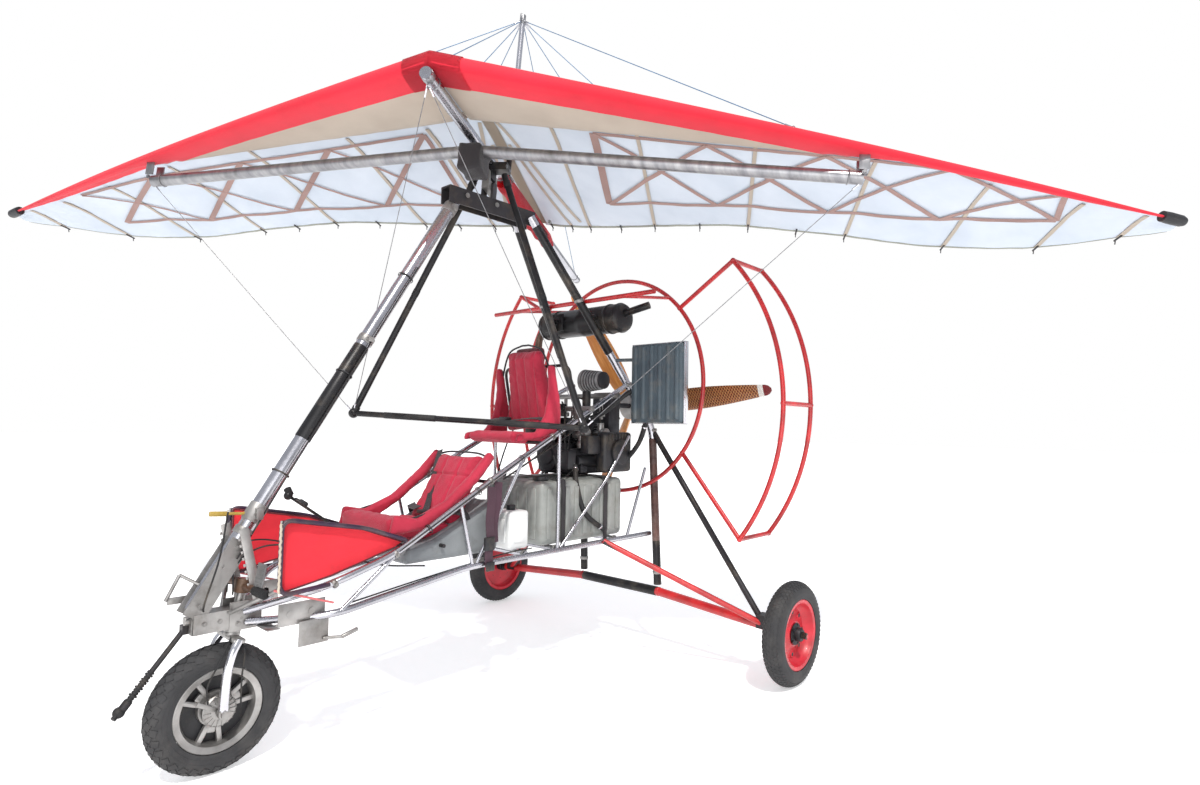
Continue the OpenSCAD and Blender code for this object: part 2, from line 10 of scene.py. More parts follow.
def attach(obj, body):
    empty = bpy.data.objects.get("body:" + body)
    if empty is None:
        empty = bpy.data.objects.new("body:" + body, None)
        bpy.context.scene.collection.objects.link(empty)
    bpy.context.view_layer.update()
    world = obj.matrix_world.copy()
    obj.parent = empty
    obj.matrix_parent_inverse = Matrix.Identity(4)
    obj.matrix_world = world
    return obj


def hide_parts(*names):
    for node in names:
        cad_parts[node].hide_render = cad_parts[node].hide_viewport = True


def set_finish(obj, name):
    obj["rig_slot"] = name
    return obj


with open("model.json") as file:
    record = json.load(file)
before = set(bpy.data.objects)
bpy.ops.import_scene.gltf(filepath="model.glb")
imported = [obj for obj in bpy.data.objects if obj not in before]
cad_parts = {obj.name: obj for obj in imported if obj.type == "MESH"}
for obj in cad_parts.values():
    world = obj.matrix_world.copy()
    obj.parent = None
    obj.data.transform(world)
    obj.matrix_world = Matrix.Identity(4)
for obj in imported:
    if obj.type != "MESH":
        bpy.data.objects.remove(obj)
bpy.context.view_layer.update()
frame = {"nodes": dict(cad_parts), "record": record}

random.seed(11)
scene = bpy.context.scene

# places read off the CAD frame, in metres
place = {
    "hang": Vector((0, 1.176, 2.566)),
    "rearHub": Vector((1.12, 2.225, 0.252)),
    "frontHub": Vector((0, 0, 0.224)),
    "propHub": Vector((0, 2.33, 1.38)),
    "strutFoot": Vector((0, -0.09, 0.58)),
    "strutTop": Vector((0, 0.971, 2.336)),
    "legFoot": Vector((0.29, 2.225, 0.35)),
    "legKnee": Vector((0.27, 2.18, 1.25)),
    "legTop": Vector((0.0583, 1.392, 2.334)),
}
wing = Matrix.Translation(place["hang"]) @ Matrix.Rotation(math.radians(-5), 4,
        "X") @ Matrix.Rotation(math.radians(31.6), 4, "Z")
head = Matrix.Translation(place["frontHub"]) @ Matrix.Rotation(math.radians(-10), 4, "X")


def mirrored(points, side):
    return [Vector((p[0] * side, p[1], p[2])) for p in points]


def legAt(z):
    t = (z - 1.25) / (place["legTop"].z - 1.25)
    return place["legKnee"].lerp(place["legTop"], t)


# materials

def nodeMaterial(name):
    mat = bpy.data.materials.new(name)
    mat.use_nodes = True
    tree = mat.node_tree
    return mat, tree, tree.nodes["Principled BSDF"]


def coordinates(tree, stretch=(1, 1, 1), uv=None):
    coord = tree.nodes.new("ShaderNodeTexCoord") if uv is None else tree.nodes.new("ShaderNodeUVMap")
    if uv is not None:
        coord.uv_map = uv
    mapping = tree.nodes.new("ShaderNodeMapping")
    mapping.inputs["Scale"].default_value = stretch
    tree.links.new(coord.outputs["Object" if uv is None else "UV"], mapping.inputs["Vector"])
    return mapping.outputs["Vector"]


def noise(tree, vector, scale, detail=4.0, rough=0.55):
    node = tree.nodes.new("ShaderNodeTexNoise")
    node.inputs["Scale"].default_value = scale
    node.inputs["Detail"].default_value = detail
    node.inputs["Roughness"].default_value = rough
    tree.links.new(vector, node.inputs["Vector"])
    return node.outputs["Fac"]


def ramp(tree, factor, stops):
    node = tree.nodes.new("ShaderNodeValToRGB")
    elements = node.color_ramp.elements
    while len(elements) < len(stops):
        elements.new(0.5)
    for element, (position, colour) in zip(elements, stops):
        element.position = position
        element.color = (*colour, 1)
    tree.links.new(factor, node.inputs["Fac"])
    return node.outputs["Color"]


def mixColours(tree, factor, first, second, mode="MIX"):
    node = tree.nodes.new("ShaderNodeMix")
    node.data_type = "RGBA"
    node.blend_type = mode
    for value, socket in ((factor, node.inputs[0]), (first, node.inputs[6]), (second, node.inputs[7])):
        if isinstance(value, (int, float)):
            socket.default_value = value
        elif isinstance(value, tuple):
            socket.default_value = (*value, 1)
        else:
            tree.links.new(value, socket)
    return node.outputs[2]


def bump(tree, shader, height, strength, distance=0.002):
    node = tree.nodes.new("ShaderNodeBump")
    node.inputs["Strength"].default_value = strength
    node.inputs["Distance"].default_value = distance
    tree.links.new(height, node.inputs["Height"])
    tree.links.new(node.outputs["Normal"], shader.inputs["Normal"])


def roughness(tree, shader, factor, low, high):
    node = tree.nodes.new("ShaderNodeMapRange")
    node.inputs["To Min"].default_value = low
    node.inputs["To Max"].default_value = high
    tree.links.new(factor, node.inputs["Value"])
    tree.links.new(node.outputs["Result"], shader.inputs["Roughness"])


def srgb(r, g, b):
    return tuple(((c / 255) / 12.92 if c <= 10.3 else ((c / 255 + 0.055) / 1.055) ** 2.4) for c in (r, g,
            b))


def finish(name, base, other, rough=(0.35, 0.55), metal=0.0, coarse=6.0, fine=180.0, strength=0.12,
           distance=0.0006, stretch=(1, 1, 1), dirt=None, dirtScale=9.0, dirtAmount=0.5, coat=0.0, uv=None):
    # Two close colours in soft patches, fine grain in roughness and bump, and dirt in blots.
    mat, tree, shader = nodeMaterial(name)
    vector = coordinates(tree, stretch, uv)
    colour = ramp(tree, noise(tree, vector, coarse), [(0.32, base), (0.68, other)])
    if dirt is not None:
        plain = coordinates(tree, (1, 1, 1), uv)
        blot = tree.nodes.new("ShaderNodeMapRange")
        blot.inputs["From Min"].default_value = 0.5
        blot.inputs["From Max"].default_value = 0.78
        blot.inputs["To Max"].default_value = dirtAmount
        tree.links.new(noise(tree, plain, dirtScale, 8.0, 0.65), blot.inputs["Value"])
        colour = mixColours(tree, blot.outputs["Result"], colour, dirt)
    tree.links.new(colour, shader.inputs["Base Color"])
    shader.inputs["Metallic"].default_value = metal
    shader.inputs["Coat Weight"].default_value = coat
    grain = noise(tree, vector, fine, 3.0)
    roughness(tree, shader, grain, *rough)
    bump(tree, shader, grain, strength, distance)
    return mat


def cloth(name, base, other, weave=900.0, rough=(0.7, 0.9), strength=0.35, through=0.0, throughColour=None,
          coarse=3.0, uv=None, darkSpotColour=None):
    # Woven cloth: crossed threads in the bump, soft fading in the colour, and light coming through if
    # asked.
    mat, tree, shader = nodeMaterial(name)
    vector = coordinates(tree, (1, 1, 1), uv)
    colour = ramp(tree, noise(tree, vector, coarse, 6.0), [(0.3, base), (0.7, other)])
    # darker spots in a given colour; on the seat cloth these maroon spots are painted shade
    if darkSpotColour is not None:
        spots = ramp(tree, noise(tree, vector, 14.0, 8.0, 0.7), [(0.55, (0, 0, 0)), (0.8, (0.4, 0.4, 0.4))])
        colour = mixColours(tree, spots, colour, darkSpotColour)
    tree.links.new(colour, shader.inputs["Base Color"])
    threads = []
    for axis in ("X", "Y"):
        wave = tree.nodes.new("ShaderNodeTexWave")
        wave.bands_direction = axis
        wave.inputs["Scale"].default_value = weave
        wave.inputs["Distortion"].default_value = 0.6
        tree.links.new(vector, wave.inputs["Vector"])
        threads.append(wave.outputs["Fac"])
    both = tree.nodes.new("ShaderNodeMath")
    both.operation = "MULTIPLY"
    tree.links.new(threads[0], both.inputs[0])
    tree.links.new(threads[1], both.inputs[1])
    crease = tree.nodes.new("ShaderNodeMath")
    crease.operation = "MULTIPLY_ADD"
    crease.inputs[1].default_value = 2.5
    tree.links.new(noise(tree, vector, 9.0, 5.0), crease.inputs[0])
    tree.links.new(both.outputs[0], crease.inputs[2])
    bump(tree, shader, crease.outputs[0], strength, 0.0008)
    roughness(tree, shader, both.outputs[0], *rough)
    shader.inputs["Sheen Weight"].default_value = 0.15
    if through:
        glow = tree.nodes.new("ShaderNodeBsdfTranslucent")
        mix = tree.nodes.new("ShaderNodeMixShader")
        mix.inputs["Fac"].default_value = through
        tree.links.new(mixColours(tree, 0.35, colour, throughColour or base), glow.inputs["Color"])
        tree.links.new(shader.outputs["BSDF"], mix.inputs[1])
        tree.links.new(glow.outputs["BSDF"], mix.inputs[2])
        output = next(n for n in tree.nodes if n.type == "OUTPUT_MATERIAL")
        tree.links.new(mix.outputs["Shader"], output.inputs["Surface"])
    return mat


def bladeWood(name, base, other, line=None):
    # Laminated wood along the blade's own UV; the dark blade has fine pale lines crossing over it.
    mat, tree, shader = nodeMaterial(name)
    vector = coordinates(tree, (1, 14, 1), "bladeMap")
    colour = ramp(tree, noise(tree, vector, 6.0, 6.0), [(0.3, base), (0.7, other)])
    if line is not None:
        for turn in (0.6, -0.6):
            turned = coordinates(tree, (1, 1, 1), "bladeMap")
            turned.node.inputs["Rotation"].default_value = (0, 0, turn)
            wave = tree.nodes.new("ShaderNodeTexWave")
            wave.inputs["Scale"].default_value = 22.0
            tree.links.new(turned, wave.inputs["Vector"])
            thin = ramp(tree, wave.outputs["Fac"], [(0.86, (0, 0, 0)), (0.97, (0.75, 0.75, 0.75))])
            colour = mixColours(tree, thin, colour, line)
    tree.links.new(colour, shader.inputs["Base Color"])
    grain = noise(tree, vector, 40.0)
    roughness(tree, shader, grain, 0.28, 0.45)
    bump(tree, shader, grain, 0.1, 0.0005)
    shader.inputs["Coat Weight"].default_value = 0.4
    return mat


dust = srgb(150, 135, 115)
mats = {
    "polished_tube": finish("polishedTube", srgb(196, 196, 202), srgb(166, 166, 172), (0.18, 0.34), 1.0, 3,
            90, 0.05, dirt=srgb(120, 114, 110), dirtScale=4, dirtAmount=0.35),
    "grey_plate": finish("greyPlate", srgb(158, 156, 154), srgb(128, 126, 124), (0.35, 0.55), 0.7, 9, 220,
            0.2, dirt=srgb(70, 60, 52)),
    "dark_steel": finish("darkSteel", srgb(58, 56, 58), srgb(36, 35, 38), (0.35, 0.55), 0.6, 9, 220, 0.2,
            dirt=dust, dirtAmount=0.3),
    "red_tube": finish("redTube", srgb(196, 38, 40), srgb(160, 22, 28), (0.25, 0.45), 0.0, 8, 160, 0.12,
            dirt=srgb(80, 25, 20), dirtAmount=0.6, coat=0.3),
    "purple_tube": finish("purpleTube", srgb(62, 40, 66), srgb(38, 28, 44), (0.3, 0.5), 0.2, 8, 160, 0.12,
            dirt=dust, dirtAmount=0.3),
    # seat cloth: its maroon spots are painted shade
    "red_cloth": cloth("redCloth", srgb(186, 30, 62), srgb(150, 16, 44), darkSpotColour=srgb(96, 10, 26)),
    "pedal_grey": finish("pedalGrey", srgb(150, 150, 150), srgb(118, 118, 120), (0.35, 0.55), 0.8, 12, 240,
            0.2, dirt=srgb(80, 72, 64)),
    "black_metal": finish("blackMetal", srgb(30, 29, 32), srgb(17, 17, 19), (0.3, 0.5), 0.3, 8, 200, 0.15,
            dirt=dust, dirtAmount=0.25),
    "engine_alloy": finish("engineAlloy", srgb(66, 66, 70), srgb(38, 38, 42), (0.4, 0.65), 0.7, 14, 260,
            0.35, dirt=srgb(30, 26, 24), dirtAmount=0.7),
    "filter_cloth": finish("filterCloth", srgb(150, 150, 150), srgb(110, 110, 112), (0.6, 0.8), 0.1, 30,
            400, 0.4),
    "slate_box": finish("slateBox", srgb(76, 90, 98), srgb(62, 74, 82), (0.45, 0.62), 0.0, 8, 300, 0.2,
            dirt=dust, dirtAmount=0.35),
    "tank_plastic": finish("tankPlastic", srgb(150, 152, 148), srgb(116, 120, 118), (0.3, 0.5), 0.0, 5, 120,
            0.1, dirt=srgb(90, 84, 74), dirtAmount=0.6),
    "black_plastic": finish("blackPlastic", srgb(34, 34, 38), srgb(22, 22, 25), (0.4, 0.6), 0.0, 9, 320,
            0.25, dirt=dust, dirtAmount=0.3),
    "cast_alloy": finish("castAlloy", srgb(176, 174, 172), srgb(138, 136, 134), (0.32, 0.5), 0.85, 10, 300,
            0.3, dirt=srgb(84, 76, 66), dirtAmount=0.6),
    "brown_tube": finish("brownTube", srgb(98, 66, 46), srgb(66, 44, 32), (0.45, 0.65), 0.2, 12, 220, 0.25,
            dirt=dust, dirtAmount=0.4),
    "tyre_rubber": finish("tyreRubber", srgb(48, 48, 50), srgb(36, 36, 38), (0.6, 0.8), 0.0, 10, 420, 0.4,
            dirt=srgb(96, 92, 88), dirtScale=7, dirtAmount=0.35),
    "red_rim": finish("redRim", srgb(206, 34, 52), srgb(168, 22, 38), (0.3, 0.5), 0.1, 8, 180, 0.15,
            dirt=srgb(110, 70, 62), dirtAmount=0.6, coat=0.2),
    "prop_wood": bladeWood("propWood", srgb(226, 158, 84), srgb(190, 112, 48)),
    "sail_cloth": cloth("sailCloth", srgb(204, 212, 222), srgb(186, 196, 208), through=0.22,
            throughColour=srgb(205, 215, 228), uv="sailMap", weave=260, strength=0.12),
    "bar_alloy": finish("barAlloy", srgb(168, 168, 170), srgb(130, 130, 134), (0.3, 0.5), 0.9, 7, 150, 0.1,
            stretch=(5, 1, 1), dirt=srgb(90, 86, 80)),
    "wire": finish("wire", srgb(150, 150, 152), srgb(100, 100, 104), (0.3, 0.5), 0.9, 60, 500, 0.3),
}
extra = {
    "panelRed": cloth("panelRed", srgb(226, 30, 48), srgb(200, 18, 38), weave=700, darkSpotColour=srgb(150, 24, 30)),
    "darkPlate": finish("darkPlate", srgb(70, 68, 70), srgb(48, 46, 50), (0.4, 0.6), 0.6, 9, 220, 0.2,
            dirt=dust, dirtAmount=0.3),
    "brownPaint": finish("brownPaint", srgb(104, 74, 66), srgb(70, 46, 44), (0.4, 0.6), 0.3, 14, 220, 0.2,
            dirt=srgb(150, 140, 132), dirtAmount=0.5),
    "sailDouble": cloth("sailDouble", srgb(196, 184, 168), srgb(178, 165, 150), through=0.22,
            throughColour=srgb(210, 195, 175), uv="sailMap", weave=260, strength=0.12),
    "sailRed": cloth("sailRed", srgb(226, 24, 52), srgb(200, 14, 40), through=0.1, uv="sailMap", weave=260,
            strength=0.12),
    "tape": cloth("sailTape", srgb(158, 126, 118), srgb(134, 104, 98), weave=500),
    "hem": cloth("sailHem", srgb(150, 152, 138), srgb(124, 126, 116), weave=500),
    "redPocket": cloth("redPocket", srgb(226, 36, 58), srgb(196, 20, 44), weave=500),
    "maroon": cloth("maroonCloth", srgb(104, 8, 24), srgb(72, 6, 18)),
    "webbing": cloth("webbing", srgb(36, 30, 34), srgb(22, 20, 24), weave=700),
    "purpleStrap": cloth("purpleStrap", srgb(66, 34, 50), srgb(44, 24, 36), weave=700),
    "rope": cloth("paleRope", srgb(206, 196, 180), srgb(168, 156, 138), weave=400),
    "darkBlade": bladeWood("darkBlade", srgb(116, 52, 22), srgb(70, 26, 12), srgb(206, 150, 92)),
    "whiteBand": finish("whiteBand", srgb(222, 220, 214), srgb(196, 194, 188), (0.4, 0.6)),
    "darkRedTip": finish("darkRedTip", srgb(120, 12, 20), srgb(90, 8, 14), (0.3, 0.5)),
    "whitePlastic": finish("whitePlastic", srgb(228, 230, 230), srgb(206, 208, 208), (0.35, 0.5), 0.0, 6,
            200, 0.1, dirt=srgb(170, 166, 156), dirtAmount=0.3),
    "greyCloth": cloth("greyCloth", srgb(128, 132, 134), srgb(98, 102, 106), darkSpotColour=srgb(70, 66, 60)),
    "blueWire": finish("blueWire", srgb(96, 138, 176), srgb(70, 108, 146), (0.35, 0.5), 0.3, 60, 500, 0.3),
    "hotPipe": finish("hotPipe", srgb(112, 92, 80), srgb(74, 62, 56), (0.4, 0.6), 0.8, 12, 240, 0.3),
    "blackRubber": finish("blackRubber", srgb(26, 26, 28), srgb(16, 16, 18), (0.55, 0.75), 0.0, 12, 300,
            0.3, dirt=dust, dirtAmount=0.25),
    "yellowPlastic": finish("yellowPlastic", srgb(176, 150, 70), srgb(146, 120, 52), (0.4, 0.6)),
    "chrome": finish("chrome", srgb(226, 226, 230), srgb(196, 196, 202), (0.08, 0.2), 1.0, 5, 120, 0.04,
            dirt=srgb(110, 100, 90), dirtAmount=0.4),
    "blueBattery": finish("blueBattery", srgb(56, 62, 72), srgb(36, 40, 48), (0.4, 0.6)),
    "pinkRod": finish("pinkRod", srgb(206, 110, 110), srgb(170, 80, 84), (0.35, 0.5)),
}
print("materials ready")

# mesh building

def addPiece(name, data, material, body, slotName=None, stands=()):
    obj = bpy.data.objects.new(name, data)
    scene.collection.objects.link(obj)
    for m in material if isinstance(material, (list, tuple)) else [material]:
        data.materials.append(m)
    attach(obj, body)
    if slotName:
        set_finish(obj, slotName)
    if stands:
        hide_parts(*stands)
    return obj


def fromBmesh(name, bm, material, body, slotName=None, stands=(), smooth=38, normals=True):
    if normals:
        bmesh.ops.recalc_face_normals(bm, faces=bm.faces[:])
    mesh = bpy.data.meshes.new(name)
    bm.to_mesh(mesh)
    bm.free()
    mesh.shade_smooth()
    mesh.set_sharp_from_angle(angle=math.radians(smooth))
    return addPiece(name, mesh, material, body, slotName, stands)


def setMaterial(faces, index):
    for face in faces:
        face.material_index = index


def facesOf(verts):
    return {f for v in verts for f in v.link_faces}


def along(a, b):
    # Matrix that puts a z-up primitive of unit length between two points.
    a, b = Vector(a), Vector(b)
    turn = (b - a).to_track_quat("Z", "Y").to_matrix().to_4x4()
    return Matrix.Translation((a + b) / 2) @ turn


def addRod(bm, a, b, r, segments=20, index=0, endRadius=None, bevel=0.0):
    length = (Vector(b) - Vector(a)).length
    made = bmesh.ops.create_cone(bm, cap_ends=True, segments=segments, radius1=r,
            radius2=r if endRadius is None else endRadius,
                                 depth=length, matrix=along(a, b))
    faces = facesOf(made["verts"])
    setMaterial(faces, index)
    if bevel:
        rims = [e for e in {e for v in made["verts"] for e in v.link_edges} if any(len(f.verts) > 4
                for f in e.link_faces)]
        done = bmesh.ops.bevel(bm, geom=rims, offset=bevel, segments=2, profile=0.5, affect="EDGES",
                material=-1)
        setMaterial(done["faces"], index)
    return made["verts"]


def addBox(bm, low, high, bevel=0.002, index=0, matrix=Matrix.Identity(4), segments=2):
    low, high = Vector(low), Vector(high)
    size = high - low
    place4 = matrix @ Matrix.Translation((low + high) / 2) @ Matrix.Diagonal((*size, 1))
    made = bmesh.ops.create_cube(bm, size=1, matrix=place4)
    edges = list({e for v in made["verts"] for e in v.link_edges})
    setMaterial(facesOf(made["verts"]), index)
    if bevel:
        done = bmesh.ops.bevel(bm, geom=edges, offset=bevel, segments=segments, profile=0.5, affect="EDGES",
                material=-1)
        setMaterial(done["faces"], index)
    return made


def addLathe(bm, profile, matrix, steps=48, index=0, closed=False):
    # Profile of (radius, height) pairs turned round the matrix's z axis.
    verts = [bm.verts.new(matrix @ Vector((max(r, 0.00001), 0, h))) for r, h in profile]
    edges = [bm.edges.new((verts[i], verts[i + 1])) for i in range(len(verts) - 1)]
    if closed:
        edges.append(bm.edges.new((verts[-1], verts[0])))
    centre = matrix @ Vector((0, 0, 0))
    axis = (matrix.to_3x3() @ Vector((0, 0, 1))).normalized()
    before = set(bm.faces)
    bmesh.ops.spin(bm, geom=verts + edges, cent=centre, axis=axis, angle=math.tau, steps=steps,
            use_merge=True, use_duplicate=False)
    fresh = [f for f in bm.faces if f not in before]
    setMaterial(fresh, index)
    bmesh.ops.remove_doubles(bm, verts=list({v for f in fresh for v in f.verts}), dist=0.00002)
    return fresh


def addTorus(bm, matrix, big, small, steps=48, ring=10, index=0, squeeze=1.0):
    profile = [(big + small * math.cos(math.tau * i / ring),
            small * squeeze * math.sin(math.tau * i / ring)) for i in range(ring)]
    return addLathe(bm, profile, matrix, steps, index, closed=True)


def addBall(bm, centre, r, index=0, scale=(1, 1, 1)):
    made = bmesh.ops.create_uvsphere(bm, u_segments=20, v_segments=12, radius=r,
            matrix=Matrix.Translation(centre) @ Matrix.Diagonal((*scale, 1)))
    setMaterial(facesOf(made["verts"]), index)


def rounded(points, r=0.05, steps=7):
    # The polyline with its corners turned into smooth bends.
    points = [Vector(p) for p in points]
    out = [points[0]]
    for before, here, after in zip(points, points[1:], points[2:]):
        back, ahead = before - here, after - here
        cut = min(r, back.length * 0.45, ahead.length * 0.45)
        start, end = here + back.normalized() * cut, here + ahead.normalized() * cut
        for i in range(steps + 1):
            t = i / steps
            out.append(start * (1 - t) ** 2 + here * 2 * t * (1 - t) + end * t ** 2)
    out.append(points[-1])
    return out


def tube(name, paths, radius, material, body, slotName=None, stands=(), bend=0.05, sides=5, closed=False):
    # Round tubes through lists of points, as one curve.
    curve = bpy.data.curves.new(name, "CURVE")
    curve.dimensions = "3D"
    curve.bevel_depth = radius
    curve.bevel_resolution = sides
    curve.use_fill_caps = True
    for path in paths:
        line = rounded(path, bend) if len(path) > 2 and bend else [Vector(p) for p in path]
        spline = curve.splines.new("POLY")
        spline.points.add(len(line) - 1)
        for point, co in zip(spline.points, line):
            point.co = (*co, 1)
        spline.use_cyclic_u = closed
        spline.use_smooth = True
    return addPiece(name, curve, material, body, slotName, stands)


def flow(points, steps=10):
    # A smooth line through the points.
    points = [Vector(p) for p in points]
    padded = [points[0] * 2 - points[1], *points, points[-1] * 2 - points[-2]]
    out = []
    for p0, p1, p2, p3 in zip(padded, padded[1:], padded[2:], padded[3:]):
        for i in range(steps):
            t = i / steps
            out.append(0.5 * (2 * p1 + (p2 - p0) * t + (2 * p0 - 5 * p1 + 4 * p2 - p3) * t * t
                    + (3 * p1 - p0 - 3 * p2 + p3) * t ** 3))
    return out + [points[-1]]


def axisFrame(centre, direction):
    # Matrix with z along the direction, at the centre.
    return Matrix.Translation(centre) @ Vector(direction).to_track_quat("Z", "Y").to_matrix().to_4x4()


def addBolt(bm, centre, direction, r=0.006, index=0):
    direction = Vector(direction).normalized()
    centre = Vector(centre)
    addRod(bm, centre - direction * 0.002, centre + direction * 0.001, r * 1.5, 16, index)
    addRod(bm, centre, centre + direction * 0.005, r, 6, index)

# wing

plan = [(0.0045, 1.0), (0.1, 0.968), (0.21, 0.868), (0.37, 0.722), (0.54, 0.724), (0.71, 0.775),
        (0.855, 0.672), (0.94, 0.455), (1.0, 0.3)]
lowerSkin = [(0, 0), (0.015, -0.014), (0.05, -0.019), (0.12, -0.018), (0.25, -0.012), (0.42, 0.010),
        (0.5, 0.035), (0.75, 0.017), (1, 0)]
upperSkin = [(0, 0), (0.015, 0.020), (0.05, 0.036), (0.12, 0.052), (0.25, 0.062), (0.42, 0.060),
        (0.5, 0.053), (0.75, 0.024), (1, 0)]
battenAt = [0.045, 0.32, 0.745, 1.295, 1.825, 2.342, 2.761, 3.03, 3.2]
halfSpan = 3.2


def through(table, x):
    # Smooth value of a table of (x, value) rows.
    i = 0
    while i < len(table) - 2 and x > table[i + 1][0]:
        i += 1
    (x1, y1), (x2, y2) = table[i], table[i + 1]
    y0 = table[i - 1][1] if i else y1
    y3 = table[i + 2][1] if i + 2 < len(table) else y2
    x0 = table[i - 1][0] if i else x1 - (x2 - x1)
    x3 = table[i + 2][0] if i + 2 < len(table) else x2 + (x2 - x1)
    t = min(max((x - x1) / (x2 - x1), 0), 1)
    m1 = (y2 - y0) / (x2 - x0) * (x2 - x1)
    m2 = (y3 - y1) / (x3 - x1) * (x2 - x1)
    return ((2 * t ** 3 - 3 * t ** 2 + 1) * y1 + (t ** 3 - 2 * t ** 2 + t) * m1 + (-2 * t ** 3 + 3
            * t ** 2) * y2 + (t ** 3 - t ** 2) * m2)


def straight(table, x):
    for (x1, y1), (x2, y2) in zip(table, table[1:]):
        if x <= x2:
            return y1 + (y2 - y1) * max(0, x - x1) / (x2 - x1)
    return table[-1][1]


def leadY(f):
    return -0.779 + 0.982 * f - 0.045 * math.sin(math.pi * f)


def trailY(f):
    return straight(plan, f) * 0.5 + through(plan, f) * 0.5


def between(x):
    # 0 on a batten, 1 midway between two.
    for a, b in zip(battenAt, battenAt[1:]):
        if x <= b:
            return math.sin(math.pi * min(max((x - a) / (b - a), 0), 1))
    return 0.0


def sailPoint(x, s, upper, lift=0.0):
    # Point of the sail skin in the wing frame: x from the keel, s the share of the chord.
    f = min(abs(x) / halfSpan, 1)
    y0, y1 = leadY(f), trailY(f)
    chord = y1 - y0
    if s < 0.02:
        t = math.sqrt(s / 0.02)
        h = (0.0235 if upper else -0.0155) * math.sin(t * math.pi / 2)
    else:
        h = through(upperSkin if upper else lowerSkin, s)
    bay = between(abs(x))
    aft = max(0, (s - 0.45) / 0.55)
    z = 0.063 - 0.084 * abs(x) + chord * h - 0.012 * bay * math.sin(math.pi * min(aft,
            1) * 0.8) * (1 if upper else 0)
    wrinkle = 0.0012 * math.sin(x * 41 + s * 9) * math.sin(s * 23 + x * 5) * min(1, s * 6)
    y = y0 + chord * s - 0.014 * bay * max(0, (s - 0.9) / 0.1)
    return Vector((x, y, z + wrinkle + lift))


def lowerEnd(x):
    f = abs(x) / halfSpan
    return min(0.46, max(0.045, (-0.2 - leadY(f)) / (trailY(f) - leadY(f))))


def lowerPoint(x, t, lift=0.0):
    # Point of the lower skin; t runs 0..1 from the leading edge to its rear edge, where it meets the
    # upper skin.
    end = lowerEnd(x)
    s = end * t
    low = sailPoint(x, s, False, lift)
    high = sailPoint(x, s, True, lift - 0.004)
    rise = max(0, (t - 0.72) / 0.28)
    rise = rise * rise * (3 - 2 * rise)
    return low.lerp(high, rise)


def sailSection(x, lift=0.0):
    # Columns of one row with their zone: 0 single skin, 1 double skin, 2 red leading edge.
    f = min(abs(x) / halfSpan, 1)
    chord = trailY(f) - leadY(f)
    redLow = min((0.135 - 0.02 * abs(x)) / chord / max(lowerEnd(x), 0.01), 0.96)
    redHigh = min(0.15, 0.15 / chord)
    row = []
    for i in range(12):
        row.append((lowerPoint(x, 1 - (1 - redLow) * i / 12, lift), 1))
    for i in range(10):
        u = 1 - i / 10
        row.append((lowerPoint(x, redLow * u * u, lift), 2))
    for i in range(12):
        u = i / 12
        row.append((sailPoint(x, redHigh * u * u, True, lift), 2))
    for i in range(37):
        row.append((sailPoint(x, redHigh + (1 - redHigh) * i / 36, True, lift), 0))
    return row


def areaOf(bm):
    return sum(face.calc_area() for face in bm.faces)


def buildSail(side, name, stands):
    bm = bmesh.new()
    uv = bm.loops.layers.uv.new("sailMap")
    rows = 132
    grid = []
    for i in range(rows + 1):
        x = 0.0145 + (halfSpan - 0.02 - 0.0145) * i / rows
        section = sailSection(x)
        run, line = 0.0, []
        for k, (p, zone) in enumerate(section):
            if k:
                run += (p - section[k - 1][0]).length
            line.append((bm.verts.new(wing @ Vector((p.x * side, p.y, p.z))), zone, (x, run)))
        grid.append(line)
    for near, far in zip(grid, grid[1:]):
        for k in range(len(near) - 1):
            corners = [near[k], near[k + 1], far[k + 1], far[k]]
            if side < 0:
                corners.reverse()
            face = bm.faces.new([c[0] for c in corners])
            face.material_index = corners[0][1] if side > 0 else corners[-1][1]
            for loop, c in zip(face.loops, corners):
                loop[uv].uv = c[2]
    area = areaOf(bm)
    obj = fromBmesh(name, bm, [mats["sail_cloth"], extra["sailDouble"], extra["sailRed"]], "wing",
            "sail_cloth", stands, smooth=60, normals=False)
    return obj


buildSail(1, "sailClothLeft", ("sail_left",))
buildSail(-1, "sailClothRight", ("sail_right",))


def skinRibbon(bm, a, b, width, lift, thick=0.0012, index=0, upper=True):
    # A flat tape over the sail from a to b, both [x, y] in the wing frame.
    a, b = Vector((*a, 0)), Vector((*b, 0))
    count = max(3, int((b - a).length / 0.03))
    across = (b - a).normalized().cross(Vector((0, 0, 1))) * width / 2
    rowsMade = []
    for i in range(count + 1):
        c = a.lerp(b, i / count)
        row = []
        for shift in (-1, 0, 1):
            p = c + across * shift
            f = min(abs(p.x) / halfSpan, 1)
            s = (p.y - leadY(f)) / (trailY(f) - leadY(f))
            z = sailPoint(p.x, min(max(s, 0), 1), upper).z
            row.append(Vector((p.x, p.y, z + lift)))
        rowsMade.append(row)
    top = [[bm.verts.new(wing @ p) for p in row] for row in rowsMade]
    low = [[bm.verts.new(wing @ (p - Vector((0, 0, thick)))) for p in row] for row in rowsMade]
    faces = []
    for i in range(count):
        for k in range(2):
            faces.append(bm.faces.new((top[i][k], top[i][k + 1], top[i + 1][k + 1], top[i + 1][k])))
            faces.append(bm.faces.new((low[i][k], low[i + 1][k], low[i + 1][k + 1], low[i][k + 1])))
        faces.append(bm.faces.new((top[i][0], top[i + 1][0], low[i + 1][0], low[i][0])))
        faces.append(bm.faces.new((top[i][2], low[i][2], low[i + 1][2], top[i + 1][2])))
    faces.append(bm.faces.new((top[0][0], low[0][0], low[0][1], top[0][1])))
    faces.append(bm.faces.new((top[0][1], low[0][1], low[0][2], top[0][2])))
    faces.append(bm.faces.new((top[-1][1], low[-1][1], low[-1][0], top[-1][0])))
    faces.append(bm.faces.new((top[-1][2], low[-1][2], low[-1][1], top[-1][1])))
    setMaterial(faces, index)


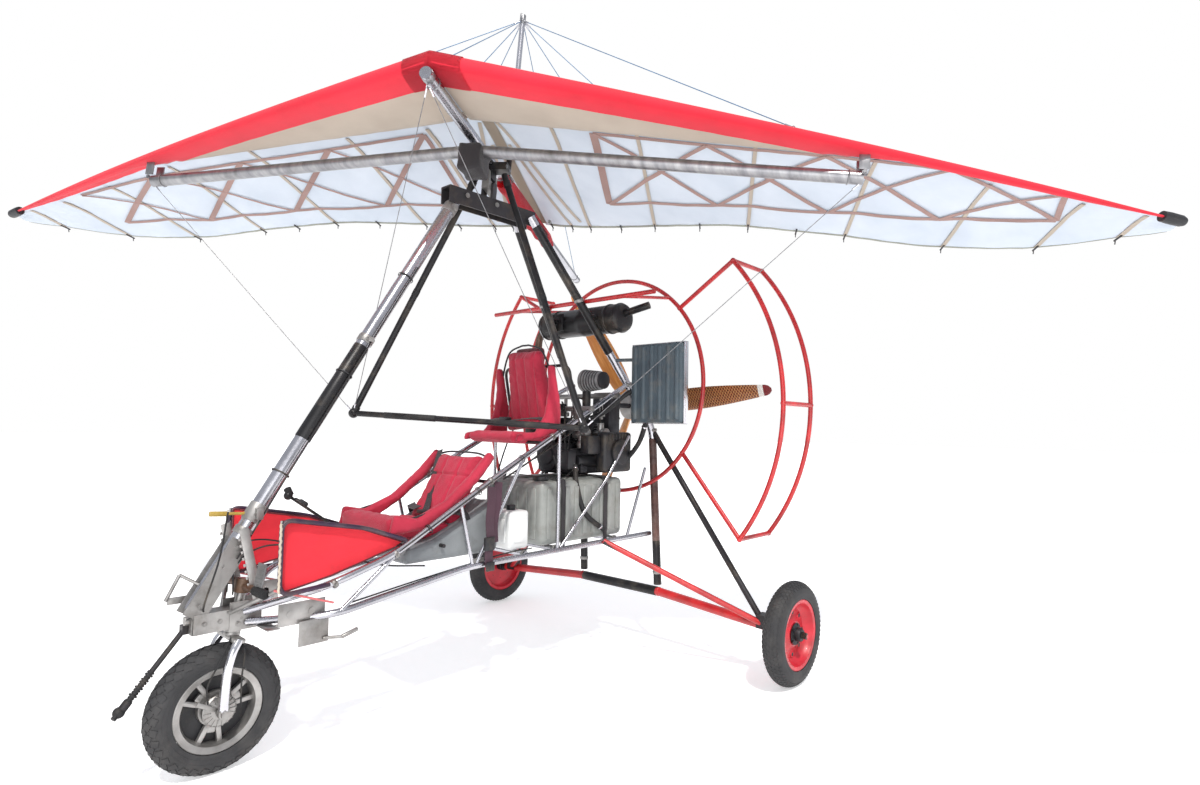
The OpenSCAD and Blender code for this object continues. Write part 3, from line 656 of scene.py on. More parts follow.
truss = {
    "nearTop": [(0.528, -0.079), (1.071, -0.071), (1.607, -0.067), (2.142, -0.049), (2.652, 0.087)],
    "nearLow": [(0.504, 0.591), (1.123, 0.470), (1.692, 0.453), (2.232, 0.449), (2.734, 0.363)],
    "farTop": [(-0.356, -0.059), (-0.894, -0.038), (-1.423, -0.020), (-2.006, 0.020), (-2.577, 0.120)],
    "farLow": [(-0.379, 0.629), (-0.864, 0.548), (-1.438, 0.498), (-2.055, 0.529), (-2.614, 0.470)],
}
tapes = bmesh.new()
top, low = truss["nearTop"], truss["nearLow"]
for line in (top, low):
    for a, b in zip(line, line[1:]):
        skinRibbon(tapes, a, b, 0.026, -0.005)
skinRibbon(tapes, top[0], low[0], 0.04, -0.0055)
skinRibbon(tapes, top[-1], low[-1], 0.026, -0.0055)
for i in range(4):
    skinRibbon(tapes, top[i], low[i + 1], 0.024, -0.0065)
    skinRibbon(tapes, low[i], top[i + 1], 0.024, -0.0075)
top, low = truss["farTop"], truss["farLow"]
for line in (top, low):
    for a, b in zip(line, line[1:]):
        skinRibbon(tapes, a, b, 0.024, -0.005)
skinRibbon(tapes, top[0], low[0], 0.024, -0.0055)
for i in range(4):
    skinRibbon(tapes, top[i], low[i + 1], 0.03, -0.0065)
    skinRibbon(tapes, low[i], top[i + 1], 0.016, -0.0075)
fromBmesh("sailTapes", tapes, extra["tape"], "wing")

hem = bmesh.new()
for side in (-1, 1):
    for a, b in zip(battenAt, battenAt[1:]):
        steps = 8
        for i in range(steps):
            xs = [a + (b - a) * (i + j) / steps for j in (0, 1)]
            xs = [min(x, 3.17) for x in xs]
            if xs[1] - xs[0] < 0.004:
                continue
            pts = []
            for x in xs:
                for s in (0.985, 1.0):
                    for lift in (-0.0025, 0.0025):
                        pts.append(wing @ Vector(((p := sailPoint(x, s, True)).x * side,
                                p.y + (0.002 if s == 1 else 0), p.z + lift)))
            v = [hem.verts.new(p) for p in pts]
            for quad in ((0, 2, 3, 1), (4, 5, 7, 6), (0, 4, 6, 2), (1, 3, 7, 5), (2, 6, 7, 3),
                    (0, 1, 5, 4)):
                hem.faces.new([v[q] for q in quad])
bmesh.ops.remove_doubles(hem, verts=hem.verts[:], dist=0.0002)
fromBmesh("sailHem", hem, extra["hem"], "wing")

battens = bmesh.new()
for side in (-1, 1):
    for x in battenAt[1:-1]:
        end = trailY(x / halfSpan)
        start = max(lowerEnd(x) + 0.06, 0.2)
        f = x / halfSpan
        y0 = leadY(f) + (trailY(f) - leadY(f)) * start
        skinRibbon(battens, (side * x, y0), (side * x, end - 0.01), 0.018, -0.003, 0.003)
        skinRibbon(battens, (side * x, leadY(f) + 0.1), (side * x, end - 0.01), 0.022, 0.004, 0.003)
    skinRibbon(battens, (side * 0.045, 0.1), (side * 0.2, 0.93), 0.018, -0.003, 0.003)
    skinRibbon(battens, (side * 0.045, -0.1), (side * 0.27, 0.88), 0.018, -0.003, 0.003)
fromBmesh("battenPockets", battens, extra["sailDouble"], "wing", "sail_cloth")

tips = bmesh.new()
for side in (-1, 1):
    for x in battenAt[1:-1] + [0.06, 0.2, 0.53, 1.02, 1.56]:
        p = sailPoint(x, 1.0, True)
        p = Vector((p.x * side, p.y, p.z))
        addRod(tips, wing @ (p + Vector((0, -0.04, -0.006))), wing @ (p + Vector((0, 0.022, -0.010))),
                0.0045, 10)
        addRod(tips, wing @ (p + Vector((0, 0.012, -0.008))), wing @ (p + Vector((0, 0.018, -0.03))),
                0.0025, 8)
fromBmesh("battenTips", tips, extra["webbing"], "wing")

caps = bmesh.new()
for side in (-1, 1):
    inner = wing @ Vector((side * 3.07, leadY(0.96) + 0.012, 0.063 - 0.084 * 3.07 + 0.004))
    outer = wing @ Vector((side * 3.185, 0.21, 0.063 - 0.084 * 3.185 + 0.002))
    addLathe(caps, [(0.0, -0.5), (0.024, -0.49), (0.026, -0.2), (0.025, 0.3), (0.019, 0.44), (0.008, 0.495),
            (0, 0.5)],
             along(inner, outer) @ Matrix.Diagonal((1, 1, (outer - inner).length, 1)), 20)
fromBmesh("tipCaps", caps, mats["black_plastic"], "wing", "black_plastic")


def skinPatch(bm, xs, columns, lift, index=0):
    # A second layer over the skin: columns are (share, upper, lower rear share) rows.
    rowsMade = []
    for x in xs:
        row = []
        for t, upper in columns:
            p = sailPoint(x, t, True) if upper else lowerPoint(x, t)
            q = (sailPoint(x, min(t + 0.01, 1), True) if upper else lowerPoint(x, min(t + 0.02, 1))) - p
            out = Vector((0, -q.z, q.y)).normalized() * (1 if upper else -1)
            if abs(t) < 0.001:
                out = Vector((0, -1, 0))
            row.append(bm.verts.new(wing @ (p + out * lift)))
        rowsMade.append(row)
    faces = []
    for a, b in zip(rowsMade, rowsMade[1:]):
        for k in range(len(a) - 1):
            faces.append(bm.faces.new((a[k], a[k + 1], b[k + 1], b[k])))
    setMaterial(faces, index)


cap = bmesh.new()
ring = [(0.24 - 0.24 * i / 10, False) for i in range(10)] + [(0.0, True)] + [(0.13 * (i / 10) ** 2,
        True) for i in range(1, 11)]
skinPatch(cap, [-0.125 + 0.25 * i / 24 for i in range(25)], ring, 0.004)
bmesh.ops.solidify(cap, geom=cap.faces[:], thickness=0.0015)
fromBmesh("noseCap", cap, extra["redPocket"], "wing", "red_cloth", smooth=60)

cover = bmesh.new()
skinPatch(cover, [-0.03, 0, 0.03], [(0.1 + 0.88 * i / 40, True) for i in range(41)], 0.003)
skinPatch(cover, [-0.03, 0, 0.03], [(0.98 - 0.7 * i / 40, True) for i in range(41)], -0.004)
bmesh.ops.solidify(cover, geom=cover.faces[:], thickness=0.0012)
fromBmesh("centreCover", cover, extra["sailDouble"], "wing", "sail_cloth", smooth=60)

lacing = bmesh.new()
for side in (-1, 1):
    for i in range(46):
        x = 0.3 + 2.7 * i / 46
        p = sailPoint(x, 0.15 / (trailY(x / halfSpan) - leadY(x / halfSpan)), True, 0.001)
        q = sailPoint(x + 0.03, 0.15 / (trailY(x / halfSpan) - leadY(x / halfSpan)), True, 0.001)
        addRod(lacing, wing @ Vector((p.x * side, p.y, p.z)), wing @ Vector((q.x * side, q.y, q.z)), 0.0012,
                6)
fromBmesh("edgeStitching", lacing, extra["rope"], "wing")

# the long red pocket that hangs round the keel behind the hang point
pocket = bmesh.new()
profile = [(-0.006, 0.055), (-0.03, 0.0), (-0.034, -0.03), (-0.022, -0.052), (0, -0.06), (0.022, -0.052),
        (0.034, -0.03), (0.03, 0.0), (0.006, 0.055)]
rings = []
for i in range(41):
    y = 0.16 + 0.99 * i / 40
    pinch = 1 - 0.25 * abs(math.sin(i * 0.7)) * 0.25
    droop = 0.006 * math.sin(i * 0.9) + 0.012 * math.sin(math.pi * i / 40)
    rings.append([pocket.verts.new(wing @ Vector((x * pinch, y, z - droop if z < 0 else z))) for x,
            z in profile])
for a, b in zip(rings, rings[1:]):
    for k in range(len(profile) - 1):
        pocket.faces.new((a[k], a[k + 1], b[k + 1], b[k]))
bmesh.ops.solidify(pocket, geom=pocket.faces[:], thickness=0.0015)
fromBmesh("keelPocket", pocket, extra["redPocket"], "wing", "red_cloth", smooth=60)
blank = bmesh.new()
for side in (-1, 1):
    v = [blank.verts.new(wing @ Vector((side * (0.0362 + (0.0005 if k in (1, 2) else 0)), y, z))) for k,
            (y, z) in enumerate(((0.62, -0.032), (0.62, -0.006), (0.98, -0.006), (0.98, -0.032)))]
    blank.faces.new(v)
bmesh.ops.solidify(blank, geom=blank.faces[:], thickness=0.001)
fromBmesh("pocketHemPatch", blank, extra["maroon"], "wing", "red_cloth")
print("sail ready")

# keel, king post and bar fittings
fittings = bmesh.new()
for y in (-0.755, 2.02):
    addRod(fittings, wing @ Vector((0, y - 0.012, 0)), wing @ Vector((0, y + 0.014, 0)), 0.0275, 32, 0,
            bevel=0.002)
for y in (-0.70, -0.13, 0.14, 0.245, 1.94):
    addTorus(fittings, axisFrame(wing @ Vector((0, y, 0)), wing.to_3x3() @ Vector((0, 1, 0))), 0.0268,
            0.003, 40, 8)
for side in (-1, 1):
    end = wing @ Vector((side * 1.74, -0.225, -0.19))
    addBox(fittings, (side * 1.74 - 0.022, -0.26, -0.165), (side * 1.74 + 0.022, -0.253, -0.098), 0.0015, 0,
            wing)
    addBox(fittings, (side * 1.74 - 0.022, -0.197, -0.165), (side * 1.74 + 0.022, -0.19, -0.098), 0.0015, 0,
            wing)
    addBolt(fittings, wing @ Vector((side * 1.74, -0.262, -0.178)), wing.to_3x3() @ Vector((0, -1, 0)),
            0.007)
    addTorus(fittings, along(wing @ Vector((side * 1.66, -0.2257, -0.1836)),
            wing @ Vector((side * 1.7, -0.2253, -0.187))), 0.0295, 0.003, 32, 8)
    for y in (-0.03, 0.02):
        addBolt(fittings, wing @ Vector((side * 0.092, y, -0.03)), wing.to_3x3() @ Vector((side, 0, 0)),
                0.006)
addBox(fittings, (-0.03, 0.215, 0.022), (0.03, 0.275, 0.034), 0.002, 0, wing)
addRod(fittings, wing @ Vector((0, 0.245, 0.93)), wing @ Vector((0, 0.245, 0.985)), 0.0165, 24, 0,
        bevel=0.002)
addBox(fittings, (-0.004, 0.21, 0.945), (0.004, 0.28, 0.975), 0.001, 0, wing)
fromBmesh("wingFittings", fittings, mats["bar_alloy"], "wing", "bar_alloy")

post = bmesh.new()
addRod(post, wing @ Vector((0, 0.245, 0.03)), wing @ Vector((0, 0.245, 0.55)), 0.0148, 24)
fromBmesh("kingPostSleeve", post, mats["black_metal"], "wing", "black_metal")

corner = Vector((0.586, -0.017, -1.305))
grips = bmesh.new()
for side in (-1, 1):
    top = Vector((side * 0.072, 0, -0.06))
    c = Vector((side * corner.x, corner.y, corner.z))
    for t, r in ((0.985, 0.019), (0.04, 0.019), (0.5, 0.0172)):
        a, b = top.lerp(c, t - 0.012), top.lerp(c, t + 0.012)
        addRod(grips, wing @ a, wing @ b, r, 24, 0, bevel=0.001)
    addRod(grips, wing @ Vector((side * 0.42, corner.y, corner.z)), wing @ Vector((side * 0.15, corner.y,
            corner.z)), 0.0155, 24, 0, bevel=0.001)
    addBolt(grips, wing @ (c + Vector((0, -0.024, 0))), wing.to_3x3() @ Vector((0, -1, 0)), 0.006)
fromBmesh("barGrips", grips, extra["blackRubber"], "wing", "black_plastic")

nose = Vector((0, -0.749, -0.027))
tail = Vector((0, 1.957, 0.027))
kingTop = Vector((0, 0.245, 0.955))
lines, upperLines = [], []
for side in (-1, 1):
    c = Vector((side * corner.x, corner.y, corner.z))
    lines.append([wing @ c, wing @ nose])
    lines.append([wing @ c, wing @ Vector((side * 1.74, -0.225, -0.2))])
    upperLines.append([wing @ kingTop, wing @ sailPoint(side * 1.45, 0.04, True)])
    for x in (0.745, 1.295):
        upperLines.append([wing @ kingTop, wing @ sailPoint(side * x, 0.99, True)])
upperLines.append([wing @ kingTop, wing @ tail])
upperLines.append([wing @ kingTop, wing @ Vector((0, -0.74, 0.05))])
tube("lowerStays", lines, 0.0017, mats["wire"], "wing", "wire", ("stays",), bend=0, sides=2)
tube("upperStays", upperLines, 0.0021, extra["blueWire"], "wing", "wire", bend=0, sides=2)

ends = bmesh.new()
for a, b in lines + upperLines:
    for start, finishPoint in ((a, b), (b, a)):
        d = (finishPoint - start).normalized()
        addRod(ends, start + d * 0.02, start + d * 0.055, 0.0042, 12)
        addTorus(ends, axisFrame(start + d * 0.011, d.orthogonal()), 0.008, 0.002, 20, 8)
fromBmesh("stayEnds", ends, extra["chrome"], "wing", "wire")

# dark cloth pouch below the keel at the hang point, with its drawn neck
pouch = bmesh.new()
addBox(pouch, (-0.055, -0.30, -0.165), (0.055, -0.15, -0.035), 0.018, 0, Matrix.Identity(4), 3)
bmesh.ops.subdivide_edges(pouch, edges=pouch.edges[:], cuts=2, use_grid_fill=True)
for v in pouch.verts:
    w = v.co.copy()
    v.co += Vector((math.sin(w.z * 90 + w.y * 40), math.sin(w.x * 80 + w.z * 60),
            math.sin(w.y * 70 + w.x * 50))) * 0.0035
    v.co = wing @ v.co
fromBmesh("hangPouch", pouch, extra["webbing"], "wing", "black_plastic", smooth=60)
print("wing ready")

# trike tubes

railPts = [(0.04, 0.07, 0.557), (0.25, 0.28, 0.65), (0.25, 0.55, 0.73), (0.25, 1.10, 1.04),
        (0.25, 1.63, 1.312), tuple(legAt(1.49))]
lowerPts = [(0.04, 0.078, 0.517), (0.25, 0.3, 0.54), (0.25, 0.92, 0.63), (0.25, 2.195, 0.64)]
for side, label in ((1, "Left"), (-1, "Right")):
    tube("sideRail" + label, [mirrored(railPts, side)], 0.014, mats["polished_tube"], "trike",
            "polished_tube", ("side_rail_" + label.lower(),), 0.09)
    tube("mastLeg" + label, [mirrored([place["legFoot"], place["legKnee"], place["legTop"]], side)], 0.022,
            mats["polished_tube"], "trike", "polished_tube", ("mast_leg_" + label.lower(),), 0.08)
tube("lowerRails", [mirrored(lowerPts, s) for s in (1, -1)] + [[(-0.25, y, 0.64),
        (0.25, y, 0.64)] for y in (1.245, 1.45, 1.9)],
     0.014, mats["polished_tube"], "trike", "polished_tube", ("lower_frame",), 0.08)
fairPts = [(0.243, 0.286, 0.652), (0.243, 0.105, 0.64), (0.243, 0.105, 0.905), (0.243, 0.42, 0.845),
        (0.243, 0.6, 0.78), (0.243, 0.6, 0.758)]
tube("fairingTubes", [mirrored(fairPts, s) for s in (1, -1)], 0.0085, mats["purple_tube"], "trike",
        "purple_tube", ("fairing_frame",), 0.045)

sleeves = bmesh.new()
strut = (place["strutTop"] - place["strutFoot"]).normalized()


def strutAt(z):
    return place["strutFoot"] + strut * ((z - 0.58) / strut.z)


addRod(sleeves, strutAt(1.18), strutAt(1.57), 0.0318, 32, 0, bevel=0.001)
for side in (-1, 1):
    for low, high, r in ((1.66, 2.29, 0.0232), (1.30, 1.42, 0.0232)):
        a, b = mirrored([legAt(low), legAt(high)], side)
        addRod(sleeves, a, b, r, 24, 0, bevel=0.001)
fromBmesh("tubeSleeves", sleeves, mats["black_metal"], "trike", "black_metal")

clamps = bmesh.new()
for z, w in ((0.905, 0.03), (1.60, 0.014), (2.27, 0.02), (0.84, 0.012)):
    addRod(clamps, strutAt(z - w), strutAt(z + w), 0.0345, 32, 0, bevel=0.002)
    addBox(clamps, (0.03, -0.012, -w * 0.7), (0.052, 0.012, w * 0.7), 0.002, 0,
            Matrix.Translation(strutAt(z)))
    addBolt(clamps, strutAt(z) + Vector((0.043, -0.012, 0)), (0, -1, 0), 0.005)
for side in (-1, 1):
    for z in (0.60, 0.655, 0.72, 0.79):
        addBolt(clamps, strutAt(z) + Vector((side * 0.0355, 0.0, 0)), (side, 0, 0), 0.0075)
    for y, z in ((0.05, 0.56), (0.1, 0.575), (0.05, 0.515), (0.1, 0.52)):
        addBolt(clamps, (side * 0.042, y, z), (side, 0, 0), 0.0065)
    for y in (-0.06, -0.01, 0.06):
        addBolt(clamps, (side * 0.0365, y, 0.535), (side, 0, 0), 0.006)
    for z in (0.42, 1.235, 1.49, 1.93):
        centre = mirrored([legAt(z) if z > 1.25 else place["legFoot"].lerp(place["legKnee"],
                (z - 0.35) / 0.9)], side)[0]
        addTorus(clamps, axisFrame(centre, (0, -0.3 if z > 1.25 else 0, 1)), 0.0232, 0.004, 32, 8,
                squeeze=2.5)
    for y, z in ((0.30, 0.654), (0.55, 0.73), (1.02, 0.995), (1.40, 1.194), (1.60, 1.297)):
        addTorus(clamps, axisFrame((side * 0.25, y, z), (0, 0.87, 0.5)), 0.0152, 0.003, 28, 8, squeeze=3)
        addBolt(clamps, (side * 0.268, y, z), (side, 0, 0), 0.0055)
    addBox(clamps, (side * 0.25 - 0.004, 0.93, 0.63), (side * 0.25 + 0.004, 0.99, 0.66), 0.001)
    for y in (1.245, 1.45, 1.9):
        addTorus(clamps, axisFrame((side * 0.232, y, 0.64), (1, 0, 0)), 0.0165, 0.003, 28, 8, squeeze=2)
    for y in (1.0, 1.18, 1.31, 1.54):
        addBolt(clamps, (side * 0.048, y, 2.345), (side, 0, 0), 0.008)
fromBmesh("clampsAndBolts", clamps, mats["grey_plate"], "trike", "grey_plate")

# struts between the lower rails and the side rails, seen through the frame
braces = []
for side in (-1, 1):
    braces += [[(side * 0.25, 0.93, 0.636), (side * 0.25, 0.86, 0.905)], [(side * 0.25, 0.95, 0.636),
            (side * 0.25, 1.22, 1.1)],
               [(side * 0.25, 1.45, 0.645), (side * 0.25, 1.45, 1.215)], [(side * 0.25, 1.47, 0.645),
                       (side * 0.25, 1.80, 0.96), (side * 0.262, 1.98, 1.2)],
               [(side * 0.25, 0.33, 0.55), (side * 0.25, 0.55, 0.725)], [(side * 0.25, 1.99, 0.645),
                       (side * 0.262, 2.13, 1.02)]]
tube("braceTubes", braces, 0.0085, mats["polished_tube"], "trike", "polished_tube", bend=0.02)
tube("seatTubes", [[(-0.25, y, z), (0.25, y, z)] for y, z in ((0.62, 0.763), (0.78, 0.7337), (1.055, 0.986),
        (1.32, 1.167))]
     + [[(s * 0.25, 0.62, 0.763), (s * 0.25, 0.62, 0.772)] for s in (-1, 1)]
     + [[(-0.25, 1.56, 1.275), (-0.25, 1.56, 1.3), (-0.25, 1.506, 1.56), (0.25, 1.506, 1.56),
             (0.25, 1.56, 1.3), (0.25, 1.56, 1.275)]],
     0.008, mats["dark_steel"], "trike", "dark_steel", ("seat_frame",), 0.05)

# guard
ringLine = [(0.63 * math.cos(math.tau * i / 96), 2.16,
        1.5 + 0.63 * math.sin(math.tau * i / 96)) for i in range(96)]
tube("guardRing", [ringLine], 0.012, mats["red_tube"], "trike", "red_tube", ("guard_ring",), 0, 4,
        closed=True)
tube("guardClips", [[(s * 0.284, 2.16, 0.9376), (s * 0.284, 2.2, 0.9376)] for s in (-1, 1)], 0.008,
        mats["red_tube"], "trike", "red_tube", bend=0)


def hoopAt(angle, y):
    return Vector((1.12 * math.cos(math.radians(angle)), y, 1.38 + 1.12 * math.sin(math.radians(angle))))


def ringAt(angle):
    return Vector((0.63 * math.cos(math.radians(angle)), 2.16, 1.5 + 0.63 * math.sin(math.radians(angle))))


for side, label in ((1, "Left"), (-1, "Right")):
    arcs = [[hoopAt(-38 + 80 * i / 48, y) for i in range(49)] for y in (2.12, 2.425)]
    outline = [ringAt(42)] + [hoopAt(42, 2.12)] + arcs[0][::-1][1:] + [ringAt(-38)]
    back = [hoopAt(42, 2.12)] + arcs[1][::-1] + [hoopAt(-38, 2.12)]
    tube("guardSide" + label, [mirrored(outline, side), mirrored(back, side),
            mirrored([hoopAt(0, 2.12), hoopAt(0, 2.425)], side)],
         0.012, mats["red_tube"], "trike", "red_tube", ("guard_" + label.lower(),), 0.03)
welds = bmesh.new()
for side in (-1, 1):
    for a in (-38, 0, 42):
        for y in (2.12, 2.425):
            addBall(welds, mirrored([hoopAt(a, y)], side)[0], 0.0145)
    for a in (-38, 42):
        addBall(welds, mirrored([ringAt(a)], side)[0], 0.0145)
fromBmesh("guardWelds", welds, mats["red_tube"], "trike", "red_tube")

# rear beam: red ends, black middle sections, and painted struts
beam = bmesh.new()
addRod(beam, (-0.285, 2.225, 0.31), (0.285, 2.225, 0.31), 0.0262, 28, 0, bevel=0.001)
for side in (-1, 1):
    addRod(beam, mirrored([place["legFoot"]], side)[0], mirrored([place["legFoot"].lerp(place["legKnee"],
            0.28)], side)[0], 0.0228, 24, 0, bevel=0.001)
fromBmesh("beamBlackPaint", beam, mats["black_metal"], "trike", "black_metal")
brown = bmesh.new()
for side in (-1, 1):
    a, b = mirrored([place["legFoot"].lerp(place["legKnee"], 0.28), place["legFoot"].lerp(place["legKnee"],
            0.93)], side)
    addRod(brown, a, b, 0.0226, 24, 0, bevel=0.001)
fromBmesh("legBrownPaint", brown, extra["brownPaint"], "trike", "dark_steel")
reds = []
for side in (-1, 1):
    reds.append([(side * 0.262, 1.783, 0.642), (side * 0.96, 2.205, 0.27)])
tube("radiusTubes", reds, 0.0148, mats["red_tube"], "trike", "red_tube", bend=0)

# nose

def panelSheet(name, side, stands):
    outline = [(0.112, 0.645), (0.112, 0.897), (0.42, 0.838), (0.59, 0.772), (0.556, 0.752), (0.30, 0.68)]
    bm = bmesh.new()
    verts = [bm.verts.new((side * 0.2275, y, z)) for y, z in outline]
    bm.faces.new(verts)
    bmesh.ops.triangulate(bm, faces=bm.faces[:])
    for _ in range(4):
        bmesh.ops.subdivide_edges(bm, edges=bm.edges[:], cuts=1, use_grid_fill=True)
    for v in bm.verts:
        y, z = v.co.y, v.co.z
        inner = min(1, max(0, min((y - 0.112) * 9, (0.905 - (y - 0.105) * 0.2 - z) * 9,
                (z - 0.64 + (0.3 - y) * 0.05) * 8)))
        v.co.x += side * (0.004 * math.sin(y * 26 + z * 40) * inner + 0.003 * math.sin(z * 70 - y * 18)
                * inner)
    area = areaOf(bm)
    obj = fromBmesh(name, bm, extra["panelRed"], "trike", "red_cloth", stands, smooth=60)
    return obj


panelSheet("nosePanelLeft", 1, ("nose_panel_left",))
panelSheet("nosePanelRight", -1, ("nose_panel_right",))
panelEdge = bmesh.new()
for side in (-1, 1):
    x = side * 0.2275
    for a, b in (((x, 0.112, 0.645), (x, 0.112, 0.897)), ((x, 0.112, 0.897), (x, 0.42, 0.838)),
            ((x, 0.42, 0.838), (x, 0.59, 0.772)), ((x, 0.30, 0.68), (x, 0.112, 0.645)), ((x, 0.556, 0.752),
            (x, 0.3, 0.68))):
        addRod(panelEdge, a, b, 0.0035, 10)
fromBmesh("panelPiping", panelEdge, extra["maroon"], "trike", "red_cloth")
ropeLine = [(0.251 + 0.0012 * math.sin(i * 1.3), 0.099 + 0.0015 * math.cos(i * 1.7),
        0.652 + 0.24 * i / 40) for i in range(41)]
tube("panelRope", [ropeLine, [(-p[0], p[1], p[2]) for p in ropeLine]], 0.0042, extra["rope"], "trike",
        bend=0, sides=3)
tube("pinkRod", [[(0.236, 0.09, 0.66), (0.25, 0.30, 0.585)], [(-0.236, 0.09, 0.66), (-0.25, 0.30, 0.585)]],
        0.004, extra["pinkRod"], "trike", bend=0)

nosePlates = bmesh.new()
for side in (-1, 1):
    addBox(nosePlates, (side * 0.205 - 0.002, 0.12, 0.52), (side * 0.205 + 0.002, 0.29, 0.60), 0.001)
    addBox(nosePlates, (side * 0.12 - 0.05, 0.10, 0.503), (side * 0.12 + 0.05, 0.145, 0.507), 0.001)
    for y in (0.16, 0.24):
        addRod(nosePlates, (side * 0.203, y, 0.56), (side * 0.209, y, 0.56), 0.012, 20)
    addRod(nosePlates, (side * 0.12, 0.13, 0.5), (side * 0.215, 0.26, 0.54), 0.007, 14)
    addRod(nosePlates, (side * 0.04, 0.02, 0.56), (side * 0.235, 0.105, 0.66), 0.008, 16)
    addRod(nosePlates, (side * 0.235, 0.105, 0.66), (side * 0.24, 0.105, 0.9), 0.0045, 12)
addBox(nosePlates, (-0.03, -0.098, 0.50), (0.03, -0.0955, 0.568), 0.001)
addRod(nosePlates, (0, -0.115, 0.548), (0, -0.095, 0.548), 0.016, 24, 0, bevel=0.002)
fromBmesh("noseFittings", nosePlates, mats["cast_alloy"], "trike", "cast_alloy")
tube("noseCables", [flow([(0.028, 0.03, 0.62), (0.032, 0.04, 0.73), (0.07, 0.135, 0.79), (0.15, 0.30, 0.76),
        (0.21, 0.50, 0.69), (0.23, 0.7, 0.66)]),
                    flow([(-0.028, 0.03, 0.62), (-0.032, 0.04, 0.73), (-0.08, 0.135, 0.79),
                            (-0.17, 0.35, 0.73), (-0.22, 0.6, 0.6)]),
                    flow([(0.02, -0.06, 0.57), (0.075, -0.075, 0.62), (0.06, -0.03, 0.76),
                            (0.036, 0.0, 0.92)])],
     0.0032, extra["blackRubber"], "trike", bend=0, sides=3)

lever = bmesh.new()
addRod(lever, (0.0, 0.085, 0.905), (0.0, -0.035, 0.912), 0.0055, 14)
addRod(lever, (0.0, 0.01, 0.909), (0.0, -0.05, 0.913), 0.0095, 16, 0, bevel=0.003)
fromBmesh("strutLever", lever, extra["yellowPlastic"], "trike")
rack = bmesh.new()
for side, x in ((1, 0.075), (-1, -0.11)):
    low, high = Vector((x, 0.10, 0.60)), Vector((x - 0.01, 0.045, 0.86))
    turn = along(low, high)
    addBox(rack, (-0.0025, -0.016, -0.13), (0.0025, 0.016, 0.13), 0.001, 0, turn)
    for k in range(9):
        addBox(rack, (-0.0025, -0.024, -0.10 + k * 0.024), (0.0025, -0.014, -0.09 + k * 0.024), 0.0008, 0,
                turn)
    addRod(rack, (x - 0.004, 0.10, 0.60), (x + 0.03, 0.10, 0.60), 0.008, 16)
addBox(rack, (-0.055, -0.155, 0.60), (-0.05, -0.085, 0.625), 0.002)
addRod(rack, (-0.05, -0.16, 0.615), (-0.05, -0.12, 0.70), 0.006, 14)
addRod(rack, (-0.055, -0.12, 0.70), (-0.02, -0.06, 0.66), 0.0055, 14)
addBox(rack, (0.215, 0.19, 0.44), (0.221, 0.30, 0.53), 0.002)
addRod(rack, (0.22, 0.28, 0.455), (0.245, 0.34, 0.452), 0.006, 14)
addRod(rack, (0.245, 0.34, 0.452), (0.25, 0.40, 0.47), 0.008, 14, 0, bevel=0.002)
fromBmesh("leverRack", rack, mats["cast_alloy"], "trike", "cast_alloy")

# cut end of the tow rod, wound with tape
wrap = bmesh.new()
towTop, towLow = Vector((-0.018, -0.107, 0.515)), Vector((-0.018, -0.275, 0.296))
for i in range(14):
    t = 0.55 + 0.45 * i / 14
    addRod(wrap, towTop.lerp(towLow, t), towTop.lerp(towLow, t + 0.022),
            0.0122 + 0.0018 * math.sin(i * 2.3), 16, 0, bevel=0.001)
addBall(wrap, towLow + Vector((0, -0.012, -0.012)), 0.0185)
addRod(wrap, towLow + Vector((0, -0.004, -0.004)), towLow + Vector((0.012, -0.03, -0.026)), 0.009, 14)
fromBmesh("towWrap", wrap, extra["blackRubber"], "trike", "dark_steel")

# rack of small control levers and the far hand lever knob
knob = bmesh.new()
addRod(knob, (-0.19, 0.318, 0.94), (-0.19, 0.302, 0.972), 0.015, 20, 0, bevel=0.004)
addRod(knob, (-0.19, 0.34, 0.925), (-0.05, 0.30, 0.93), 0.005, 12)
addRod(knob, (-0.05, 0.30, 0.93), (0.03, 0.285, 0.925), 0.009, 14, 0, bevel=0.003)
fromBmesh("leverGrips", knob, extra["blackRubber"], "trike", "black_metal")
print("frame ready")

# seats

def crown(obj, thickness):
    # Fills a closed pad with pressure, keeps each point near its start, and smooths it.
    modifier = obj.modifiers.new("remesh", "REMESH")
    modifier.mode = "VOXEL"
    modifier.voxel_size = 0.0075
    applyModifiers(obj)
    start = [v.co.copy() for v in obj.data.vertices]
    blow = obj.modifiers.new("cloth", "CLOTH")
    blow.settings.use_pressure = True
    blow.settings.uniform_pressure_force = 4
    blow.settings.effector_weights.gravity = 0
    blow.point_cache.frame_start, blow.point_cache.frame_end = 1, 16
    for frameNumber in range(1, 17):
        scene.frame_set(frameNumber)
    applyModifiers(obj)
    for v, was in zip(obj.data.vertices, start):
        shift = v.co - was
        if shift.length > thickness:
            v.co = was + shift.normalized() * thickness
    scene.frame_set(1)
    return obj


def applyModifiers(obj):
    graph = bpy.context.evaluated_depsgraph_get()
    mesh = bpy.data.meshes.new_from_object(obj.evaluated_get(graph), depsgraph=graph)
    materials = [m for m in obj.data.materials]
    obj.modifiers.clear()
    obj.data = mesh
    if not mesh.materials:
        for m in materials:
            mesh.materials.append(m)
    mesh.shade_smooth()


